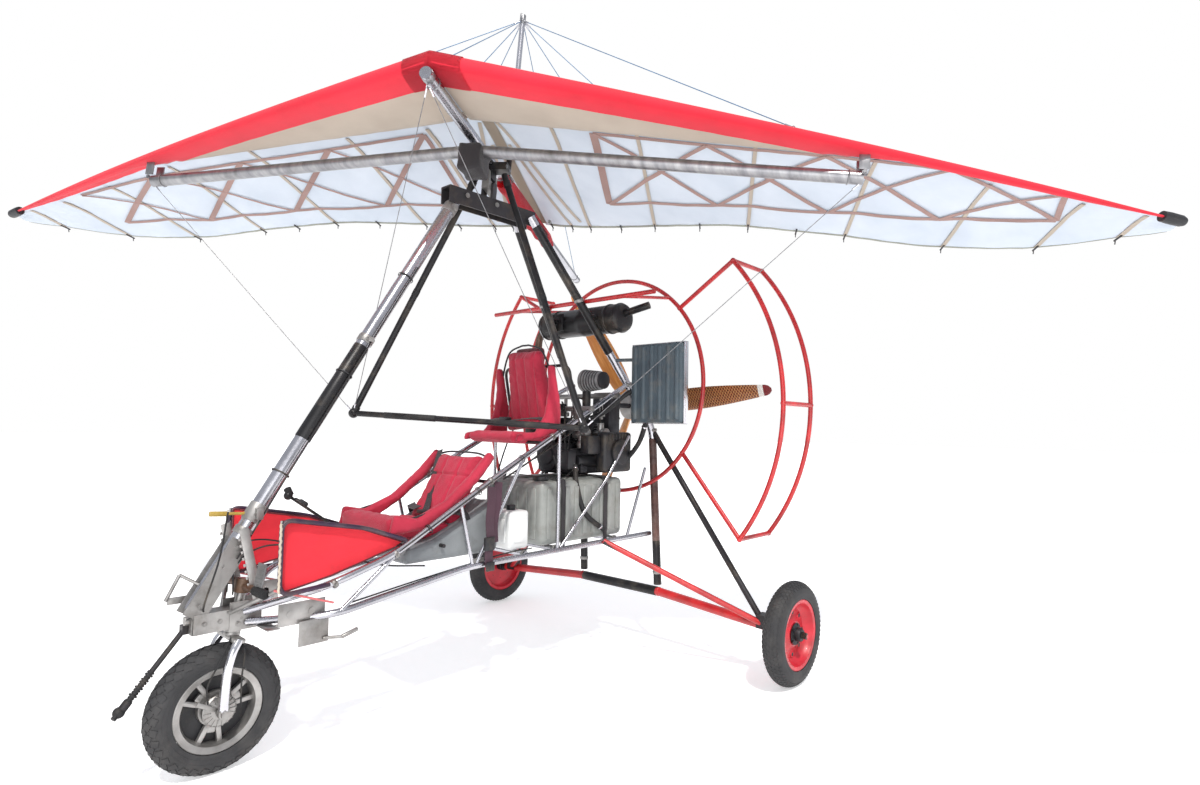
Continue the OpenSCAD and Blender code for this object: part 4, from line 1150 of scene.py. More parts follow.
def padBox(name, matrix, size, bulge, channels=(), mat="red_cloth", stands=(), droop=None,
        slotName="red_cloth", taper=0.0):
    # A stuffed pad: size is (width, length, thickness) in its own frame, with sewn channels across or
    # along it.
    bm = bmesh.new()
    addBox(bm, (-size[0] / 2, -size[1] / 2, -size[2] / 2), (size[0] / 2, size[1] / 2, size[2] / 2),
            min(size[2] * 0.42, 0.02), 0, Matrix.Identity(4), 3)
    if taper:
        for v in bm.verts:
            v.co.x *= 1 - taper * (v.co.y / size[1] + 0.5) ** 3
    mesh = bpy.data.meshes.new(name)
    bm.to_mesh(mesh)
    bm.free()
    mesh.transform(matrix)
    obj = addPiece(name, mesh, mats[mat] if mat in mats else extra[mat], "trike", slotName, stands)
    crown(obj, bulge)
    back = matrix.inverted()
    half = size[2] / 2
    for v in obj.data.vertices:
        p = back @ v.co
        share = max(0, min(1, (p.z + half * 0.2) / half))
        depth = 0.0
        for axis, at, width in channels:
            value = p.x if axis == "x" else p.y
            depth += 0.008 * math.exp(-((value - at) / width) ** 2)
        ridge = 0.0012 * math.sin(p.x * 90 + p.y * 31) * math.sin(p.y * 75)
        p.z += (ridge - depth) * share
        p.x *= 1 - 0.03 * math.sin(math.pi * (p.y / size[1] + 0.5))
        if droop:
            p = droop(p)
        v.co = matrix @ p
    smooth = obj.modifiers.new("subdivision", "SUBSURF")
    smooth.levels = smooth.render_levels = 1
    applyModifiers(obj)
    return obj


def lean(centre, tilt):
    return Matrix.Translation(centre) @ Matrix.Rotation(math.radians(tilt), 4, "X")


padBox("frontSeatPan", lean((0, 0.72, 0.79), -3), (0.36, 0.32, 0.05), 0.014, [("y", 0.07, 0.006),
        ("y", -0.05, 0.006)], stands=("front_seat",))
padBox("frontSeatRoll", lean((0, 0.588, 0.822), 0), (0.40, 0.085, 0.08), 0.012)
padBox("frontSeatBack", lean((0, 0.97, 0.945), 62), (0.35, 0.36, 0.05), 0.014, [("x", -0.06, 0.006),
        ("x", 0.06, 0.006), ("y", 0.06, 0.006)], taper=0.08)
def padOutline(name, side, outline, x, thickness, bulge, mat="red_cloth"):
    # A stuffed side panel cut to an outline in [y, z].
    bm = bmesh.new()
    face = bm.faces.new([bm.verts.new((side * (x - thickness / 2), y, z)) for y, z in outline])
    made = bmesh.ops.extrude_face_region(bm, geom=[face])
    bmesh.ops.translate(bm, verts=[g for g in made["geom"] if isinstance(g, bmesh.types.BMVert)],
            vec=(side * thickness, 0, 0))
    bmesh.ops.recalc_face_normals(bm, faces=bm.faces[:])
    bmesh.ops.bevel(bm, geom=bm.edges[:], offset=thickness * 0.3, segments=2, profile=0.5, affect="EDGES",
            material=-1)
    mesh = bpy.data.meshes.new(name)
    bm.to_mesh(mesh)
    bm.free()
    obj = addPiece(name, mesh, mats[mat] if mat in mats else extra[mat], "trike", "red_cloth")
    crown(obj, bulge)
    for v in obj.data.vertices:
        v.co.x += side * 0.002 * math.sin(v.co.y * 80 + v.co.z * 30) * math.sin(v.co.z * 60)
    return obj


frontSide = [(0.545, 0.785), (0.555, 0.868), (0.66, 0.868), (0.80, 0.925), (0.94, 1.03), (1.045, 1.125),
        (1.075, 1.095), (0.98, 0.985), (0.84, 0.885), (0.70, 0.80)]
rearSide = [(1.205, 1.160), (1.215, 1.197), (1.325, 1.212), (1.385, 1.31), (1.415, 1.45), (1.42, 1.56),
        (1.455, 1.555), (1.50, 1.33), (1.49, 1.21), (1.36, 1.175)]
for side, label in ((1, "Left"), (-1, "Right")):
    padOutline("frontSide" + label, side, frontSide, 0.207, 0.030, 0.010)
    padOutline("rearSide" + label, side, rearSide, 0.203, 0.030, 0.010)
padBox("rearSeatPan", lean((0, 1.335, 1.186), -3), (0.37, 0.27, 0.038), 0.010, [("y", 0.05, 0.006),
        ("y", -0.06, 0.006)], stands=("rear_seat",))
padBox("rearSeatBack", lean((0, 1.468, 1.43), 100), (0.40, 0.44, 0.055), 0.018,
       [("x", -0.12, 0.007), ("x", -0.05, 0.007), ("x", 0.02, 0.007), ("x", 0.09, 0.007),
               ("y", -0.15, 0.007)], taper=0.45)
padBox("headPad", lean((0, 1.468, 1.62), 100), (0.20, 0.075, 0.05), 0.012, mat="maroon", slotName=None)

piping = []
for side in (-1, 1):
    piping.append(flow([(side * 0.205, 0.56, 0.845), (side * 0.212, 0.66, 0.86), (side * 0.213, 0.82,
            0.905), (side * 0.206, 0.93, 0.985), (side * 0.19, 1.045, 1.10)]))
    piping.append(flow([(side * 0.19, 1.225, 1.19), (side * 0.205, 1.375, 1.222), (side * 0.203, 1.44,
            1.36), (side * 0.19, 1.44, 1.50), (side * 0.13, 1.43, 1.63), (side * 0.04, 1.43, 1.665),
            (0, 1.43, 1.668)]))
piping.append(flow([(-0.19, 1.045, 1.10), (-0.1, 1.05, 1.115), (0.1, 1.05, 1.115), (0.19, 1.045, 1.10)]))
tube("seatPiping", piping, 0.0048, extra["webbing"], "trike", bend=0, sides=3)


def strap(name, points, width, across, material, body="trike", thick=0.0022):
    # A flat strap through the points; across is the direction of its width.
    line = flow(points, 8)
    across = Vector(across).normalized()
    bm = bmesh.new()
    rowsMade = []
    for i, p in enumerate(line):
        ahead = (line[min(i + 1, len(line) - 1)] - line[max(i - 1, 0)]).normalized()
        side = (across - ahead * across.dot(ahead)).normalized()
        up = ahead.cross(side)
        rowsMade.append([bm.verts.new(p + side * sx * width / 2 + up * sz * thick / 2) for sx,
                sz in ((-1, -1), (1, -1), (1, 1), (-1, 1))])
    for a, b in zip(rowsMade, rowsMade[1:]):
        for k in range(4):
            bm.faces.new((a[k], a[(k + 1) % 4], b[(k + 1) % 4], b[k]))
    bm.faces.new(rowsMade[0][::-1])
    bm.faces.new(rowsMade[-1])
    return fromBmesh(name, bm, material, body, smooth=50)


strap("frontBeltLeft", [(0.215, 0.93, 0.80), (0.20, 0.90, 0.86), (0.12, 0.84, 0.845), (0.03, 0.80, 0.84)],
        0.038, (0.2, 1, 0.4), extra["webbing"])
strap("frontBeltRight", [(-0.215, 0.93, 0.80), (-0.20, 0.90, 0.86), (-0.12, 0.86, 0.86),
        (-0.05, 0.84, 0.862)], 0.038, (0.2, 1, 0.4), extra["webbing"])
strap("rearBeltAcross", [(0.215, 1.44, 1.24), (0.17, 1.38, 1.285), (0.0, 1.30, 1.27), (-0.16, 1.36, 1.28),
        (-0.215, 1.43, 1.24)], 0.038, (0, 1, 0.2), extra["webbing"])
strap("frontShoulder", [(-0.16, 1.03, 1.12), (-0.12, 0.975, 1.03), (-0.05, 0.90, 0.90),
        (0.02, 0.83, 0.845)], 0.036, (1, 0, 0), extra["webbing"])
strap("hangingBelt", [(0.262, 1.02, 0.97), (0.272, 1.01, 0.90), (0.276, 1.0, 0.82), (0.272, 1.01, 0.75),
        (0.275, 1.0, 0.68), (0.268, 1.01, 0.62)], 0.045, (0, 1, 0.1), extra["purpleStrap"])
strap("hangingBeltTwo", [(0.258, 1.06, 0.99), (0.27, 1.045, 0.90), (0.268, 1.03, 0.80),
        (0.262, 1.04, 0.72)], 0.04, (0.2, 1, 0.0), extra["purpleStrap"])
buckle = bmesh.new()
addBox(buckle, (0.266, 0.975, 0.69), (0.282, 1.03, 0.75), 0.005)
addBox(buckle, (0.272, 0.985, 0.60), (0.284, 1.03, 0.64), 0.004)
addBox(buckle, (0.0, 0.80, 0.845), (0.055, 0.845, 0.862), 0.005)
addBox(buckle, (-0.03, 1.285, 1.275), (0.03, 1.325, 1.29), 0.005)
fromBmesh("buckles", buckle, mats["black_plastic"], "trike", "black_plastic")

pod = bmesh.new()
addBox(pod, (-0.225, 0.62, 0.665), (0.225, 1.10, 0.74), 0.03, 0, Matrix.Identity(4), 3)
bmesh.ops.subdivide_edges(pod, edges=pod.edges[:], cuts=3, use_grid_fill=True)
for v in pod.verts:
    if v.co.z > 0.70:
        v.co.z += max(0, v.co.y - 0.72) * 0.45
    v.co.z += 0.004 * math.sin(v.co.y * 60 + v.co.x * 30)
    v.co.x *= 1 - 0.02 * abs(math.sin(v.co.y * 40))
fromBmesh("clothPod", pod, extra["greyCloth"], "trike", smooth=60)
print("seats ready")

# wheels

def treadBlocks(bm, hub, wheel, rows, index=0):
    # Raised blocks on the tyre's crown; rows are (angle across, size round, size across, turn, count,
    # offset).
    radius, width = wheel
    crownRadius = radius - width / 2
    for phi, round_, across, turn, count, offset in rows:
        p = math.radians(phi)
        reach = crownRadius + (width / 2 - 0.0022) * math.cos(p)
        for i in range(count):
            theta = math.tau * (i + offset) / count
            spot = hub @ Matrix.Rotation(theta, 4, "Z") @ Matrix.Translation((reach, 0,
                    (width / 2 - 0.0022) * math.sin(p)))
            spot = spot @ Matrix.Rotation(-p, 4, "Y") @ Matrix.Rotation(math.radians(turn), 4, "X")
            addBox(bm, (-0.002, -round_ / 2, -across / 2), (0.0018, round_ / 2, across / 2), 0, index, spot)


def tyreProfile(radius, width, rimRadius, grooves=()):
    crown, half = radius - width / 2, width / 2 - 0.0022
    outside = []
    for i in range(41):
        phi = math.radians(-97 + 194 * i / 40)
        r, x = crown + half * math.cos(phi), half * math.sin(phi)
        for g, depth in grooves:
            r -= depth * math.exp(-((math.degrees(phi) - g) / 2.6) ** 2)
        outside.append((r, x))
    low = [(rimRadius + 0.0105, -width * 0.44), (rimRadius + 0.0105, -width * 0.30)]
    high = [(rimRadius + 0.0105, width * 0.30), (rimRadius + 0.0105, width * 0.44)]
    return [low[1], low[0]] + outside + [high[1], high[0]]


def buildTyre(name, hub, size, rimRadius, body, stands, rows, grooves):
    bm = bmesh.new()
    addLathe(bm, tyreProfile(size[0], size[1], rimRadius, grooves), hub, 96, 0, closed=True)
    for side in (-1, 1):
        addTorus(bm, hub @ Matrix.Translation((0, 0, side * size[1] * 0.455)), rimRadius + 0.026, 0.0016,
                72, 6)
        addTorus(bm, hub @ Matrix.Translation((0, 0, side * size[1] * 0.47)), rimRadius + 0.041, 0.0012, 72,
                6)
    treadBlocks(bm, hub, size, rows)
    return fromBmesh(name, bm, mats["tyre_rubber"], body, "tyre_rubber", stands, smooth=30)


diamond = []
for phi, offset in ((-54, 0.0), (-36, 0.5), (-18, 0.0), (0, 0.5), (18, 0.0), (36, 0.5), (54, 0.0)):
    diamond.append((phi, 0.0125, 0.0125, 45, 62, offset))
sport = []
for phi, offset, turn in ((-56, 0.0, 20), (-33, 0.42, 32), (-12, 0.90, 42), (12, 0.40, -42),
        (33, 0.92, -32), (56, 0.5, -20)):
    sport.append((phi, 0.023, 0.0205, turn, 34, offset))

for side, label in ((1, "Left"), (-1, "Right")):
    body = "rear_wheel_" + label.lower()
    hub = axisFrame((side * 1.12, 2.225, 0.252), (side, 0, 0))
    buildTyre("rearTyre" + label, hub, (0.252, 0.104), 0.16, body, ("rear_tyre_" + label.lower(),), diamond,
            ((0, 0.0), (78, 0.002), (-78, 0.002)))
    rim = bmesh.new()
    profile = [(0.030, 0.012), (0.06, 0.014), (0.075, 0.002), (0.12, -0.004), (0.138, 0.008),
            (0.146, 0.030), (0.150, 0.040), (0.166, 0.0435),
               (0.1695, 0.0415), (0.1695, 0.038), (0.158, 0.036), (0.154, 0.02), (0.152, -0.02), (0.158,
                       -0.036), (0.1695, -0.038), (0.1695, -0.0415),
               (0.166, -0.0435), (0.150, -0.040), (0.146, -0.02), (0.138, -0.012), (0.12, -0.014), (0.075,
                       -0.010), (0.030, -0.008)]
    addLathe(rim, profile, hub, 72, 0, closed=True)
    for i in range(8):
        spot = hub @ Matrix.Rotation(math.tau * i / 8, 4, "Z") @ Matrix.Translation((0.102, 0, -0.001))
        addTorus(rim, spot @ Matrix.Diagonal((1, 1.35, 1, 1)), 0.0125, 0.003, 24, 8)
    for i in range(36):
        spot = hub @ Matrix.Rotation(math.tau * i / 36, 4, "Z")
        addBall(rim, spot @ Vector((0.1535, 0, 0.0405)), 0.0025)
    fromBmesh("rearRim" + label, rim, mats["red_rim"], body, "red_rim", ("rear_rim_" + label.lower(),))
    boss = bmesh.new()
    addLathe(boss, [(0.0107, -0.048), (0.03, -0.048), (0.034, -0.044), (0.034, 0.020), (0.052, 0.016),
            (0.053, 0.020), (0.034, 0.026), (0.032, 0.046),
                    (0.027, 0.052), (0.0107, 0.052)], hub, 48, 0, closed=True)
    for i in range(5):
        spot = hub @ Matrix.Rotation(math.tau * i / 5, 4, "Z")
        addBolt(boss, spot @ Vector((0.045, 0, 0.021)), (side, 0, 0), 0.0055)
    fromBmesh("rearHub" + label, boss, mats["engine_alloy"], body, "engine_alloy")
    nut = bmesh.new()
    addRod(nut, (side * 1.17, 2.225, 0.252), (side * 1.194, 2.225, 0.252), 0.017, 6)
    addRod(nut, (side * 1.176, 2.225, 0.252), (side * 1.1975, 2.225, 0.252), 0.0098, 16)
    addRod(nut, (side * 1.05, 2.225, 0.252), (side * 1.062, 2.225, 0.252), 0.03, 28, 0, bevel=0.002)
    fromBmesh("rearNut" + label, nut, mats["dark_steel"], "trike", "dark_steel")
    # black discs fill the rim's eight holes as painted shade for the dark hollow seen through them
    holes = bmesh.new()
    for i in range(8):
        spot = hub @ Matrix.Rotation(math.tau * i / 8, 4, "Z") @ Matrix.Translation((0.102, 0, -0.0012))
        addRod(holes, spot @ Vector((0, 0, -0.0105)), spot @ Vector((0, 0, 0.0022)), 0.0115, 20)
    fromBmesh("rimHoleShade" + label, holes, mats["black_plastic"], body, "black_plastic")

frontHub = axisFrame(place["frontHub"], (1, 0, 0))
buildTyre("frontTyre", frontHub, (0.224, 0.096), 0.138, "front_wheel", ("front_tyre",), sport,
        ((0, 0.0022), (80, 0.002), (-80, 0.002)))
rim = bmesh.new()
addLathe(rim, [(0.118, 0.020), (0.124, 0.034), (0.130, 0.036), (0.144, 0.0405), (0.1475, 0.0385),
        (0.1475, 0.035), (0.136, 0.032), (0.132, 0.018), (0.130, -0.018),
               (0.136, -0.032), (0.1475, -0.035), (0.1475, -0.0385), (0.144, -0.0405), (0.130,
                       -0.036), (0.124, -0.034), (0.118, -0.020)], frontHub, 72, 0, closed=True)
addLathe(rim, [(0.0107, 0.020), (0.03, 0.020), (0.036, 0.012), (0.060, 0.010), (0.062, 0.004),
        (0.062, -0.010), (0.036, -0.03), (0.0107, -0.03)], frontHub, 72, 0, closed=True)
for i in range(3):
    for split in (-17, 17):
        spot = frontHub @ Matrix.Rotation(math.tau * i / 3 + math.radians(split + 20), 4, "Z")
        addBox(rim, (0.055, -0.009, -0.006), (0.125, 0.009, 0.014), 0.004, 0, spot)
    spot = frontHub @ Matrix.Rotation(math.tau * i / 3 + math.radians(20), 4, "Z")
    addBox(rim, (0.05, -0.014, -0.004), (0.084, 0.014, 0.010), 0.004, 0, spot)
addTorus(rim, frontHub @ Matrix.Translation((0, 0, 0.030)), 0.127, 0.003, 72, 8)
fromBmesh("frontRim", rim, mats["cast_alloy"], "front_wheel", "cast_alloy", ("front_rim",))
dark = bmesh.new()
addLathe(dark, [(0.05, -0.012), (0.129, -0.012), (0.129, -0.016), (0.05, -0.016)], frontHub, 64, 0,
        closed=True)
fromBmesh("frontRimShade", dark, mats["black_plastic"], "front_wheel", "black_plastic")
drum = bmesh.new()
addLathe(drum, [(0.0125, 0.022), (0.05, 0.023), (0.056, 0.027), (0.056, 0.040), (0.05, 0.046),
        (0.03, 0.048), (0.022, 0.054), (0.0125, 0.054)], frontHub, 56, 0, closed=True)
for i in range(18):
    addBox(drum, (0.03, -0.0015, 0.044), (0.053, 0.0015, 0.050), 0.0006, 0,
            frontHub @ Matrix.Rotation(math.tau * i / 18, 4, "Z"))
addBox(drum, (-0.006, -0.008, 0.05), (0.09, 0.008, 0.055), 0.002, 0,
        frontHub @ Matrix.Rotation(math.radians(150), 4, "Z"))
fromBmesh("drumBrake", drum, mats["cast_alloy"], "steering", "cast_alloy")

# steering

fork = bmesh.new()
addRod(fork, head @ Vector((0, 0, 0.238)), head @ Vector((0, 0, 0.445)), 0.0165, 32, 0, bevel=0.002)
addRod(fork, head @ Vector((0, 0, 0.248)), head @ Vector((0, 0, 0.262)), 0.027, 32, 0, bevel=0.003)
addRod(fork, head @ Vector((0, 0, 0.438)), head @ Vector((0, 0, 0.452)), 0.018, 6)
addBox(fork, (-0.085, -0.021, 0.235), (0.085, 0.021, 0.252), 0.006, 0, head)
addRod(fork, place["frontHub"] + Vector((-0.092, 0, 0)), place["frontHub"] + Vector((0.092, 0, 0)), 0.0098,
        24)
for side in (-1, 1):
    addRod(fork, place["frontHub"] + Vector((side * 0.060, 0, 0)), place["frontHub"] + Vector((side * 0.089,
            0, 0)), 0.020, 28, 0, bevel=0.003)
    addRod(fork, place["frontHub"] + Vector((side * 0.088, 0, 0)), place["frontHub"] + Vector((side * 0.099,
            0, 0)), 0.0135, 6)
fromBmesh("forkCrown", fork, mats["cast_alloy"], "steering", "cast_alloy", ("fork",))
legs = bmesh.new()
for side in (-1, 1):
    line = flow([head @ Vector((side * 0.073, 0.0, 0.246)), head @ Vector((side * 0.083, -0.016, 0.205)),
            head @ Vector((side * 0.084, -0.020, 0.14)),
                 head @ Vector((side * 0.080, -0.010, 0.06)), head @ Vector((side * 0.075, 0.0, 0.0))], 8)
    for i, (a, b) in enumerate(zip(line, line[1:])):
        t = i / len(line)
        addRod(legs, a, b + (b - a) * 0.15, 0.0145 + 0.003 * t, 20, 0, 0.0145 + 0.003 * (t + 1 / len(line)))
fromBmesh("forkLegs", legs, extra["chrome"], "steering", "cast_alloy", smooth=60)
tube("brakeRod", [flow([head @ Vector((0.055, -0.05, 0.03)), head @ Vector((0.085, -0.075, 0.10)),
        head @ Vector((0.088, -0.05, 0.19)), head @ Vector((0.05, -0.02, 0.25))]),
    flow([head @ Vector((0.088, 0.05, 0.02)), head @ Vector((0.092, 0.03, 0.12)),
            head @ Vector((0.078, 0.028, 0.20)), head @ Vector((0.062, 0.02, 0.234))])],
     0.003, extra["blackRubber"], "steering", bend=0, sides=3)
bar = bmesh.new()
addRod(bar, head @ Vector((-0.205, 0, 0.425)), head @ Vector((0.205, 0, 0.425)), 0.0135, 24, 0, bevel=0.002)
addRod(bar, head @ Vector((0, 0, 0.40)), head @ Vector((0, 0, 0.45)), 0.0275, 32, 0, bevel=0.002)
fromBmesh("footBar", bar, mats["brown_tube"], "steering", "brown_tube", ("foot_bar",))
grip = bmesh.new()
for side in (-1, 1):
    for i in range(9):
        a = 0.118 + i * 0.0095
        addRod(grip, head @ Vector((side * a, 0, 0.425)), head @ Vector((side * (a + 0.007), 0, 0.425)),
                0.0172, 20, 0, bevel=0.0012)
    addRod(grip, head @ Vector((side * 0.112, 0, 0.425)), head @ Vector((side * 0.205, 0, 0.425)), 0.0155,
            20)
fromBmesh("footGrips", grip, extra["blackRubber"], "steering", "black_plastic")
plate = bmesh.new()
for side in (-1, 1):
    x0, x1 = (0.098, 0.168) if side > 0 else (-0.168, -0.098)
    addBox(plate, (x0, -0.003, 0.4385), (x1, 0.003, 0.522), 0.002, 0, head)
    for k in range(5):
        addBox(plate, (x0 + 0.006, -0.0055, 0.452 + k * 0.014), (x1 - 0.006, -0.0025, 0.457 + k * 0.014),
                0.001, 0, head)
    addBolt(plate, head @ Vector((side * 0.133, -0.0035, 0.445)), head.to_3x3() @ Vector((0, -1, 0)), 0.004)
fromBmesh("footPlates", plate, mats["pedal_grey"], "steering", "pedal_grey", ("pedals",))
print("wheels and steering ready")

# engine

engine = bmesh.new()
addBox(engine, (-0.125, 1.66, 0.99), (0.125, 2.02, 1.13), 0.018, 0, Matrix.Identity(4), 3)
addBox(engine, (-0.10, 1.63, 1.02), (0.10, 1.70, 1.16), 0.012)
for y in (1.745, 1.90):
    for k in range(10):
        z = 1.135 + k * 0.0145
        w = 0.075 if k < 7 else 0.066
        addBox(engine, (-w, y - 0.066, z), (w, y + 0.066, z + 0.0045), 0.001)
    addRod(engine, (0, y, 1.12), (0, y, 1.285), 0.048, 32)
    addRod(engine, (0, y, 1.28), (0, y, 1.296), 0.034, 28, 0, bevel=0.004)
addBox(engine, (-0.07, 2.03, 1.18), (0.07, 2.13, 1.45), 0.014, 0, Matrix.Identity(4), 3)
addRod(engine, (0, 2.12, 1.38), (0, 2.145, 1.38), 0.058, 40, 0, bevel=0.004)
addRod(engine, (0, 2.14, 1.38), (0, 2.375, 1.38), 0.0149, 24)
for a in range(8):
    addBolt(engine, (0.052 * math.cos(a * math.tau / 8), 2.142, 1.38 + 0.052 * math.sin(a * math.tau / 8)),
            (0, 1, 0), 0.004)
for x in (-0.06, 0.06):
    for z in (1.2, 1.3, 1.43):
        addBolt(engine, (x, 2.13, z), (0, 1, 0), 0.0045)
addRod(engine, (0, 1.60, 1.09), (0, 1.635, 1.09), 0.082, 48, 0, bevel=0.006)
addRod(engine, (0, 1.59, 1.09), (0, 1.603, 1.09), 0.05, 36, 0, bevel=0.004)
for side in (-1, 1):
    for y in (1.72, 1.94):
        addBox(engine, (side * 0.145 - 0.022, y - 0.025, 1.0), (side * 0.145 + 0.022, y + 0.025, 1.035),
                0.004)
        addBolt(engine, (side * 0.15, y, 1.036), (0, 0, 1), 0.006)
fromBmesh("engineBlock", engine, mats["engine_alloy"], "trike", "engine_alloy", ("engine",))

carb = bmesh.new()
for y in (1.745, 1.90):
    addRod(carb, (0.07, y, 1.20), (0.12, y, 1.21), 0.024, 24, 0, bevel=0.002)
    addRod(carb, (0.118, y, 1.165), (0.118, y, 1.27), 0.020, 24, 0, bevel=0.002)
    addRod(carb, (0.118, y, 1.13), (0.118, y, 1.168), 0.025, 24, 0, bevel=0.003)
    addRod(carb, (0.13, y, 1.212), (0.168, y, 1.215), 0.026, 24, 0, bevel=0.002)
    addRod(carb, (0, y, 1.294), (0, y, 1.325), 0.0065, 14)
    addRod(carb, (0, y, 1.32), (0.01, y - 0.03, 1.345), 0.009, 14)
fromBmesh("carburettors", carb, mats["cast_alloy"], "trike", "cast_alloy")
shroud = bmesh.new()
addBox(shroud, (-0.165, 1.66, 1.10), (-0.095, 2.0, 1.285), 0.02, 0, Matrix.Identity(4), 3)
addBox(shroud, (-0.05, 1.63, 1.30), (0.06, 1.69, 1.37), 0.008)
addBox(shroud, (0.07, 1.60, 1.02), (0.165, 1.66, 1.12), 0.008)
addBox(shroud, (-0.16, 1.58, 1.15), (-0.06, 1.63, 1.26), 0.01)
addRod(shroud, (0.12, 1.70, 1.06), (0.12, 1.86, 1.06), 0.032, 28, 0, bevel=0.004)
for k in range(6):
    addBox(shroud, (-0.169, 1.70 + k * 0.05, 1.13), (-0.163, 1.72 + k * 0.05, 1.26), 0.001)
addBox(shroud, (0.172, 1.80, 1.00), (0.245, 2.03, 1.22), 0.02, 0, Matrix.Identity(4), 3)
addBox(shroud, (0.15, 1.70, 1.10), (0.215, 1.80, 1.20), 0.012)
addRod(shroud, (0.245, 1.92, 1.11), (0.262, 1.92, 1.11), 0.07, 40, 0, bevel=0.005)
for k in range(7):
    addBox(shroud, (0.24, 1.83 + k * 0.026, 1.175), (0.249, 1.842 + k * 0.026, 1.21), 0.001)
fromBmesh("engineCovers", shroud, mats["black_plastic"], "trike", "black_plastic")

hoses = [
    flow([(0.01, 1.715, 1.345), (0.05, 1.66, 1.38), (0.09, 1.64, 1.33), (0.12, 1.62, 1.12)]),
    flow([(0.01, 1.87, 1.345), (0.07, 1.80, 1.40), (0.10, 1.70, 1.37), (0.12, 1.64, 1.12)]),
    flow([(0.118, 1.745, 1.27), (0.16, 1.70, 1.34), (0.19, 1.55, 1.25), (0.23, 1.35, 1.12),
            (0.245, 1.1, 1.0)]),
    flow([(0.118, 1.90, 1.27), (0.18, 1.82, 1.36), (0.21, 1.58, 1.22), (0.235, 1.30, 1.09)]),
    flow([(0.06, 1.62, 1.04), (0.14, 1.55, 0.98), (0.20, 1.50, 1.0), (0.24, 1.42, 1.10)]),
    flow([(0.12, 1.70, 1.05), (0.16, 1.60, 0.99), (0.19, 1.50, 0.985), (0.15, 1.45, 0.978)]),
    flow([(-0.03, 1.62, 1.35), (-0.10, 1.55, 1.33), (-0.18, 1.50, 1.2), (-0.22, 1.45, 1.0),
            (-0.15, 1.40, 0.98)]),
]
tube("engineCables", hoses, 0.0042, extra["blackRubber"], "trike", bend=0, sides=3)
thick = [
    flow([(0.10, 1.80, 1.285), (0.18, 1.86, 1.33), (0.27, 1.92, 1.42), (0.335, 1.95, 1.46)]),
    flow([(0.12, 1.96, 1.02), (0.22, 1.99, 1.06), (0.33, 1.98, 1.16), (0.40, 1.955, 1.275)]),
    flow([(0.16, 1.66, 1.04), (0.21, 1.62, 0.95), (0.235, 1.66, 0.80), (0.243, 1.80, 0.70)]),
]
tube("coolantHoses", thick, 0.0135, extra["blackRubber"], "trike", bend=0, sides=5)
rings = bmesh.new()
for line in thick:
    for i in (2, -3):
        addTorus(rings, axisFrame(line[i], line[i + 1] - line[i]), 0.0145, 0.0022, 28, 6, squeeze=2.2)
fromBmesh("hoseClips", rings, extra["chrome"], "trike")

mount = bmesh.new()
for y, z in ((1.67, 1.342), (1.88, 1.42)):
    addRod(mount, (-0.27, y, z), (0.27, y, z), 0.0142, 28, 0, bevel=0.002)
    for side in (-1, 1):
        addRod(mount, (side * 0.14, y, 1.29), (side * 0.14, y, z), 0.0102, 20)
        addRod(mount, (side * 0.14, y, 1.305), (side * 0.14, y, 1.33), 0.022, 24, 0, bevel=0.004)
fromBmesh("engineMounts", mount, mats["grey_plate"], "trike", "grey_plate", ("engine_mount",))

muffler = bmesh.new()
addLathe(muffler, [(0, -0.33), (0.05, -0.33), (0.074, -0.322), (0.08, -0.31), (0.083, -0.305),
        (0.083, -0.298), (0.0795, -0.294), (0.0795, -0.02), (0.082, -0.014), (0.082, 0.014), (0.0795, 0.02),
                   (0.0795, 0.264), (0.083, 0.268), (0.083, 0.275), (0.08, 0.28), (0.074, 0.292), (0.05,
                           0.30), (0, 0.30)], axisFrame((0, 1.888, 1.85), (1, 0, 0)), 64)
addBox(muffler, (-0.27, 1.80, 1.80), (-0.10, 1.812, 1.90), 0.004)
for side in (-1, 1):
    a = Vector((0, 1.888, 1.85)) + Vector((side * legAt(1.85).x, -0.065, 0))
    b = mirrored([legAt(1.86)], side)[0]
    addRod(muffler, a, b, 0.0122, 20)
    addTorus(muffler, axisFrame((side * 0.2, 1.888, 1.85), (1, 0, 0)), 0.0815, 0.003, 56, 8, squeeze=3)
fromBmesh("mufflerBody", muffler, mats["black_metal"], "trike", "black_metal", ("muffler",))
tube("exhaustPipes", [[(-0.3, 1.888, 1.85), (-0.39, 1.888, 1.8), (-0.39, 1.85, 1.3), (-0.33, 1.83, 1.18),
        (-0.165, 1.83, 1.18)]], 0.022, extra["hotPipe"], "trike", "black_metal", bend=0.07)
tube("tailPipe", [[(0.27, 1.888, 1.868), (0.40, 1.888, 1.89), (0.45, 1.908, 1.905)]], 0.020,
        mats["black_metal"], "trike", "black_metal", bend=0.05)
springs = bmesh.new()
for k in range(2):
    base = Vector((-0.392, 1.888 + (0.026 if k else -0.026), 1.62))
    last = None
    for i in range(60):
        p = base + Vector((0.004 * math.cos(i * 0.9), 0.004 * math.sin(i * 0.9), i * 0.001))
        if last is not None:
            addRod(springs, last, p, 0.0009, 5)
        last = p
for z in (1.60, 1.70):
    addTorus(springs, axisFrame((-0.39, 1.875 + (z - 1.6) * 0.08, z), (0, 0.07, 1)), 0.0225, 0.003, 32, 8,
            squeeze=2)
fromBmesh("exhaustSprings", springs, mats["dark_steel"], "trike", "dark_steel")

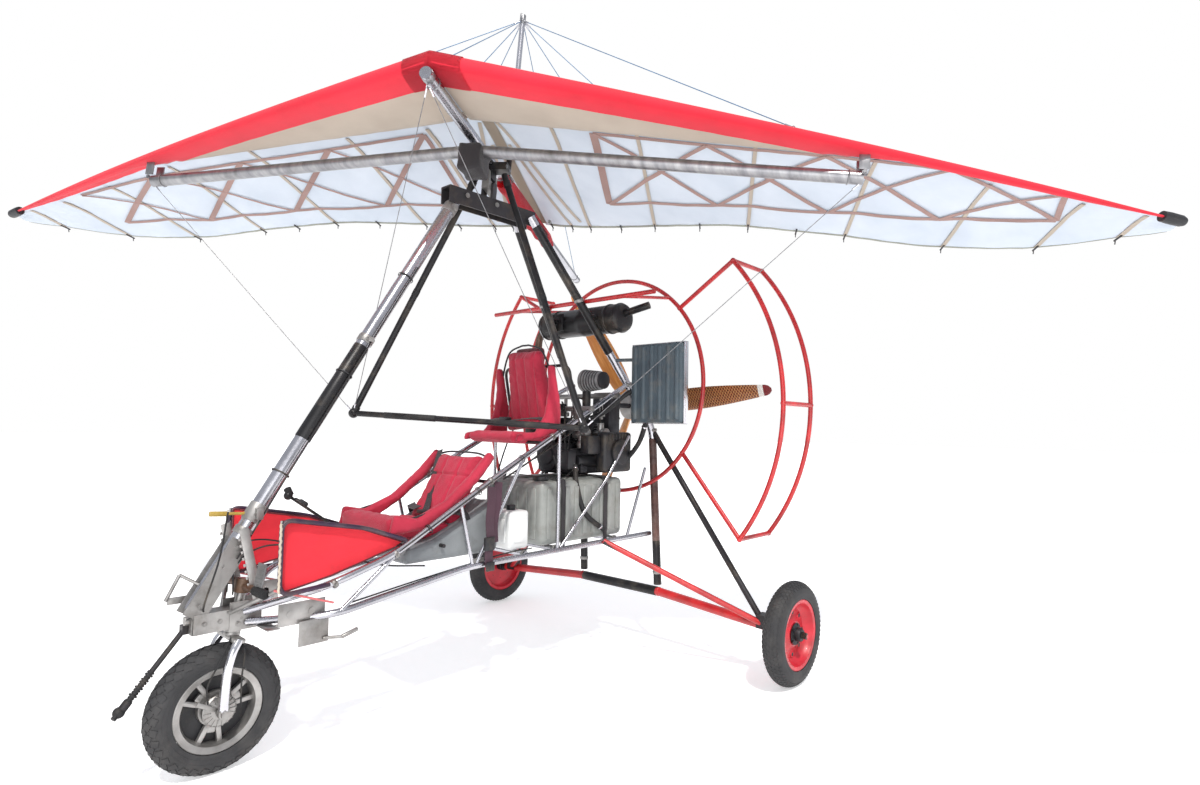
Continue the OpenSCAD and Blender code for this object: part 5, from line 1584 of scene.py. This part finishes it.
filterMesh = bmesh.new()
profile = [(0, 0.0), (0.062, 0.0), (0.064, 0.006), (0.062, 0.014)]
for i in range(12):
    t = 0.014 + i * 0.0092
    r = 0.058 - i * 0.0010
    profile += [(r + 0.003, t + 0.002), (r + 0.003, t + 0.0045), (r - 0.002, t + 0.006)]
profile += [(0.046, 0.126), (0.046, 0.136), (0.04, 0.14), (0, 0.14)]
addLathe(filterMesh, profile, axisFrame((0.096, 1.79, 1.5), (1, 0, 0)), 56)
fromBmesh("filterCone", filterMesh, mats["filter_cloth"], "trike", "filter_cloth", ("air_filter",))
# the black ring in every other pleat groove is painted shade in the creases; the neck and the two end caps
# are real black parts
dark = bmesh.new()
for i in range(0, 12, 2):
    addTorus(dark, axisFrame((0.096 + 0.0205 + i * 0.0092, 1.79, 1.5), (1, 0, 0)), 0.0595 - i * 0.001,
            0.0022, 48, 6)
addRod(dark, (0.11, 1.79, 1.30), (0.11, 1.79, 1.47), 0.0235, 28, 0, bevel=0.002)
addRod(dark, (0.09, 1.79, 1.5), (0.108, 1.79, 1.5), 0.045, 32, 0, bevel=0.003)
addRod(dark, (0.228, 1.79, 1.5), (0.24, 1.79, 1.5), 0.047, 32, 0, bevel=0.003)
fromBmesh("filterCapsAndPleatShade", dark, mats["black_plastic"], "trike", "black_plastic")

# ribbed box at the engine's left
boxMesh = bmesh.new()
addBox(boxMesh, (0.322, 1.915, 1.275), (0.658, 1.98, 1.695), 0.012, 0, Matrix.Identity(4), 3)
for i in range(6):
    x = 0.353 + i * 0.0548
    for y in (1.921, 1.974):
        addRod(boxMesh, (x, y, 1.292), (x, y, 1.684), 0.0158, 18, 0, bevel=0.006)
for i in range(2):
    addRod(boxMesh, (0.652, 1.932 + i * 0.032, 1.295), (0.652, 1.932 + i * 0.032, 1.678), 0.008, 12)
for z in (1.40, 1.62):
    addRod(boxMesh, legAt(z), (0.33, 1.95, z), 0.0092, 16)
fromBmesh("ribbedBox", boxMesh, mats["slate_box"], "trike", "slate_box", ("radiator",))
edge = bmesh.new()
for a, b in (((0.318, 1.95, 1.272), (0.662, 1.95, 1.272)), ((0.318, 1.95, 1.698), (0.662, 1.95, 1.698)),
        ((0.662, 1.95, 1.272), (0.662, 1.95, 1.698)), ((0.318, 1.95, 1.272), (0.318, 1.95, 1.698))):
    d = (Vector(b) - Vector(a)).normalized()
    side = Vector((0, 1, 0))
    low = Vector(map(min, a, b)) - Vector((0.002, 0.018, 0.002))
    high = Vector(map(max, a, b)) + Vector((0.002, 0.018, 0.002))
    addBox(edge, low, high, 0.0015)
fromBmesh("boxFrame", edge, extra["chrome"], "trike")

# tanks

tank = bmesh.new()
addBox(tank, (-0.225, 1.362, 0.656), (0.225, 1.978, 0.97), 0.03, 0, Matrix.Identity(4), 4)
for i in range(9):
    y = 1.41 + i * 0.065
    for side in (-1, 1):
        addBox(tank, (side * 0.2255 - 0.006, y - 0.016, 0.69), (side * 0.2255 + 0.006, y + 0.016, 0.94),
                0.005)
for i in range(6):
    x = -0.165 + i * 0.066
    for y in (1.3625, 1.9775):
        addBox(tank, (x - 0.017, y - 0.006, 0.69), (x + 0.017, y + 0.006, 0.94), 0.005)
for x in (-0.1, 0.1):
    addBox(tank, (x - 0.05, 1.42, 0.967), (x + 0.05, 1.92, 0.977), 0.004)
fromBmesh("fuelTank", tank, mats["tank_plastic"], "trike", "tank_plastic", ("fuel_tank",))
strap("tankStrapFront", [(0.236, 1.50, 0.64), (0.236, 1.50, 0.8), (0.234, 1.50, 0.95), (0.20, 1.50, 0.982),
        (0, 1.50, 0.984), (-0.20, 1.50, 0.982), (-0.234, 1.50, 0.95), (-0.236, 1.50, 0.8), (-0.236, 1.50,
        0.64)], 0.03, (0, 1, 0), extra["webbing"])
strap("tankStrapRear", [(0.236, 1.82, 0.64), (0.236, 1.82, 0.8), (0.234, 1.82, 0.95), (0.20, 1.82, 0.982),
        (0, 1.82, 0.984), (-0.20, 1.82, 0.982), (-0.234, 1.82, 0.95), (-0.236, 1.82, 0.8), (-0.236, 1.82,
        0.64)], 0.03, (0, 1, 0), extra["webbing"])
lid = bmesh.new()
addRod(lid, (0.14, 1.43, 0.97), (0.14, 1.43, 0.995), 0.038, 36, 0, bevel=0.004)
for i in range(14):
    a = math.tau * i / 14
    addBox(lid, (0.036, -0.003, 0), (0.0405, 0.003, 0.02), 0.001, 0, Matrix.Translation((0.14, 1.43,
            0.974)) @ Matrix.Rotation(a, 4, "Z"))
addRod(lid, (0.13, 1.245, 0.838), (0.13, 1.245, 0.862), 0.022, 28, 0, bevel=0.003)
addBox(lid, (0.02, 1.20, 0.66), (0.058, 1.29, 0.76), 0.005)
fromBmesh("tankCaps", lid, mats["black_plastic"], "trike", "black_plastic")
white = bmesh.new()
addBox(white, (0.062, 1.182, 0.656), (0.198, 1.308, 0.838), 0.018, 0, Matrix.Identity(4), 4)
addBox(white, (0.09, 1.176, 0.69), (0.17, 1.184, 0.80), 0.004)
addBox(white, (0.196, 1.21, 0.69), (0.204, 1.28, 0.80), 0.004)
fromBmesh("headerTank", white, extra["whitePlastic"], "trike", "tank_plastic", ("header_tank",))
battery = bmesh.new()
addBox(battery, (-0.198, 1.177, 0.656), (-0.042, 1.313, 0.79), 0.004)
addBox(battery, (-0.2, 1.175, 0.786), (-0.04, 1.315, 0.812), 0.004)
for x in (-0.18, -0.06):
    addRod(battery, (x, 1.2, 0.81), (x, 1.2, 0.824), 0.009, 16, 0, bevel=0.001)
for k in range(6):
    addRod(battery, (-0.185 + k * 0.026, 1.28, 0.811), (-0.185 + k * 0.026, 1.28, 0.816), 0.009, 16)
fromBmesh("battery", battery, extra["blueBattery"], "trike", "black_plastic", ("battery_box",))
strap("batteryStrap", [(-0.205, 1.245, 0.65), (-0.204, 1.245, 0.78), (-0.195, 1.245, 0.817), (-0.12, 1.245,
        0.82), (-0.045, 1.245, 0.817), (-0.036, 1.245, 0.78), (-0.035, 1.245, 0.65)], 0.025, (0, 1, 0),
        extra["webbing"])
print("engine and tanks ready")

# propeller

def bladeShape(t):
    return 0.078 + 0.07 * math.sin(math.pi * t ** 0.75) - 0.026 * t, 0.034 * (1
            - t) ** 1.4 + 0.007, math.radians(48 - 33 * math.sqrt(t))


def buildBlade(name, angle, dark):
    bm = bmesh.new()
    uv = bm.loops.layers.uv.new("bladeMap")
    turn = Matrix.Translation(place["propHub"]) @ Matrix.Rotation(-math.radians(angle), 4, "Y")
    stations, around = 56, 28
    ringsMade = []
    for i in range(stations + 1):
        t = i / stations
        chord, thick, pitch = bladeShape(min(t, 0.985))
        if t > 0.96:
            shrink = math.sqrt(max(0.02, 1 - ((t - 0.96) / 0.042) ** 2))
            chord, thick = chord * shrink, thick * shrink
        x = 0.07 + 0.88 * t
        ringMade = []
        for k in range(around):
            a = math.tau * k / around
            u, v = chord / 2 * math.cos(a), thick / 2 * math.sin(a) * (1 - 0.3 * math.cos(a))
            y, z = u * math.cos(pitch) - v * math.sin(pitch), u * math.sin(pitch) + v * math.cos(pitch)
            ringMade.append((bm.verts.new(turn @ Vector((x, -z, y))), (x, u)))
        ringsMade.append(ringMade)
    for i, (a, b) in enumerate(zip(ringsMade, ringsMade[1:])):
        t = i / stations
        index = 2 if dark and t > 0.93 else 1 if dark and (0.895 < t <= 0.93 or 0.50 < t < 0.515) else 0
        for k in range(around):
            quad = [a[k], a[(k + 1) % around], b[(k + 1) % around], b[k]]
            face = bm.faces.new([q[0] for q in quad])
            face.material_index = index
            for loop, q in zip(face.loops, quad):
                loop[uv].uv = q[1]
    bm.faces.new([q[0] for q in ringsMade[0]])
    bm.faces.new([q[0] for q in ringsMade[-1]][::-1])
    return fromBmesh(name, bm, [extra["darkBlade"] if dark else mats["prop_wood"], extra["whiteBand"],
            extra["darkRedTip"]], "prop", "prop_wood",
                     ("propeller",) if dark else (), smooth=50)


buildBlade("bladeSide", 5, True)
buildBlade("bladeTop", 125, False)
buildBlade("bladeLow", 245, False)
hubMesh = bmesh.new()
front = axisFrame(place["propHub"], (0, 1, 0))
addLathe(hubMesh, [(0.0152, -0.038), (0.074, -0.038), (0.082, -0.032), (0.082, 0.032), (0.074, 0.038),
        (0.0152, 0.038)], front, 64, 0, closed=True)
for i in range(6):
    spot = front @ Matrix.Rotation(math.tau * i / 6, 4, "Z")
    addBolt(hubMesh, spot @ Vector((0.045, 0, 0.039)), (0, 1, 0), 0.006)
fromBmesh("propHub", hubMesh, mats["cast_alloy"], "prop", "cast_alloy")
print("propeller ready")

# long cables down the strut and along the rails
tube("frameCables", [
    flow([tuple(strutAt(1.95) + Vector((0.036, 0.01, 0))), tuple(strutAt(1.5) + Vector((0.037, 0.012, 0))),
            tuple(strutAt(1.1) + Vector((0.038, 0.014, 0))), tuple(strutAt(0.75) + Vector((0.046, 0.02,
            0)))]),
    flow([(0.262, 0.56, 0.74), (0.268, 0.9, 0.93), (0.268, 1.3, 1.15), (0.262, 1.6, 1.31)]),
    flow([(0.236, 0.36, 0.567), (0.238, 0.7, 0.612), (0.236, 1.1, 0.655), (0.23, 1.3, 0.66)]),
], 0.003, extra["blackRubber"], "trike", bend=0, sides=3)
ties = bmesh.new()
for z in (1.9, 1.45, 1.05):
    addTorus(ties, axisFrame(strutAt(z), strut), 0.0345, 0.0016, 40, 6, squeeze=2)
for y in (0.7, 0.95, 1.2, 1.45):
    z = 0.73 + (y - 0.55) * 0.5636 if y < 1.1 else 1.04 + (y - 1.1) * 0.5132
    addTorus(ties, axisFrame((0.254, y, z), (0, 0.87, 0.5)), 0.0195, 0.0014, 32, 6, squeeze=2)
fromBmesh("cableTies", ties, mats["black_plastic"], "trike", "black_plastic")

# CAD nodes that stay as they are get the finish of their slot
slotOf = {}
for row in frame["record"]["subparts"]:
    slotOf[row["node"]] = row["material_slot"]
for n, obj in frame["nodes"].items():
    obj.data.materials.clear()
    obj.data.materials.append(mats[slotOf.get(n, "grey_plate")])
    if not obj.get("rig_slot") and n in slotOf:
        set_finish(obj, slotOf[n])
frame["nodes"]["mast_head"].data.materials[0] = extra["darkPlate"]
frame["nodes"]["nose_frame"].data.materials[0] = mats["cast_alloy"]
print("frame nodes painted")

# floor, light, camera

floorMesh = bmesh.new()
bmesh.ops.create_grid(floorMesh, x_segments=2, y_segments=2, size=60)
floorData = bpy.data.meshes.new("floor")
floorMesh.to_mesh(floorData)
floorMesh.free()
floor = bpy.data.objects.new("floor", floorData)
scene.collection.objects.link(floor)
floorMat, _, floorShader = nodeMaterial("floor")
floorShader.inputs["Base Color"].default_value = (0.9, 0.9, 0.9, 1)
floorShader.inputs["Roughness"].default_value = 0.9
floorShader.inputs["Specular IOR Level"].default_value = 0.1
floorShader.inputs["Emission Color"].default_value = (1, 1, 1, 1)
floorShader.inputs["Emission Strength"].default_value = 0.42
floorData.materials.append(floorMat)

world = bpy.data.worlds.new("world")
scene.world = world
world.use_nodes = True
tree = world.node_tree
tree.nodes.clear()
path = tree.nodes.new("ShaderNodeLightPath")
seen = tree.nodes.new("ShaderNodeBackground")
seen.inputs["Color"].default_value = (1, 1, 1, 1)
seen.inputs["Strength"].default_value = 1.0
sky = tree.nodes.new("ShaderNodeBackground")
sky.inputs["Strength"].default_value = 0.72
grade = tree.nodes.new("ShaderNodeTexCoord")
split = tree.nodes.new("ShaderNodeSeparateXYZ")
tree.links.new(grade.outputs["Generated"], split.inputs["Vector"])
tree.links.new(ramp(tree, split.outputs["Z"], [(0.0, (0.55, 0.54, 0.52)), (0.25, (0.9, 0.93, 1.0))]),
        sky.inputs["Color"])
mix = tree.nodes.new("ShaderNodeMixShader")
tree.links.new(path.outputs["Is Camera Ray"], mix.inputs["Fac"])
tree.links.new(sky.outputs["Background"], mix.inputs[1])
tree.links.new(seen.outputs["Background"], mix.inputs[2])
out = tree.nodes.new("ShaderNodeOutputWorld")
tree.links.new(mix.outputs["Shader"], out.inputs["Surface"])

sun = bpy.data.lights.new("sun", "SUN")
sun.energy = 2.7
sun.angle = math.radians(3)
sun.color = (1.0, 0.97, 0.92)
sunObject = bpy.data.objects.new("sun", sun)
sunObject.rotation_euler = Vector((-0.55, 0.45, -1.0)).to_track_quat("-Z", "Y").to_euler()
scene.collection.objects.link(sunObject)
fill = bpy.data.lights.new("fill", "AREA")
fill.energy = 120
fill.size = 4
fillObject = bpy.data.objects.new("fill", fill)
fillObject.location = (4.2, -3.2, 1.6)
fillObject.rotation_euler = (Vector((0, 1, 1.2)) - fillObject.location).to_track_quat("-Z", "Y").to_euler()
scene.collection.objects.link(fillObject)

scene.view_settings.view_transform = "Standard"
yaw, pitch, roll = -0.734, 0.05, 0.018
forward = Vector((math.sin(yaw) * math.cos(pitch), math.cos(yaw) * math.cos(pitch), math.sin(pitch)))
right = Vector((math.cos(yaw), -math.sin(yaw), 0))
up = right.cross(forward)
right2 = math.cos(roll) * right + math.sin(roll) * up
up2 = -math.sin(roll) * right + math.cos(roll) * up
camera = bpy.data.cameras.new("camera")
camera.lens = 20.144
camera.sensor_width = 36
camera.clip_end = 200
cameraObject = bpy.data.objects.new("camera", camera)
scene.collection.objects.link(cameraObject)
cameraObject.matrix_world = Matrix.Translation((2.651, -0.916, 1.252)) @ Matrix((right2, up2,
        -forward)).transposed().to_4x4()
scene.camera = cameraObject
print("camera ready")
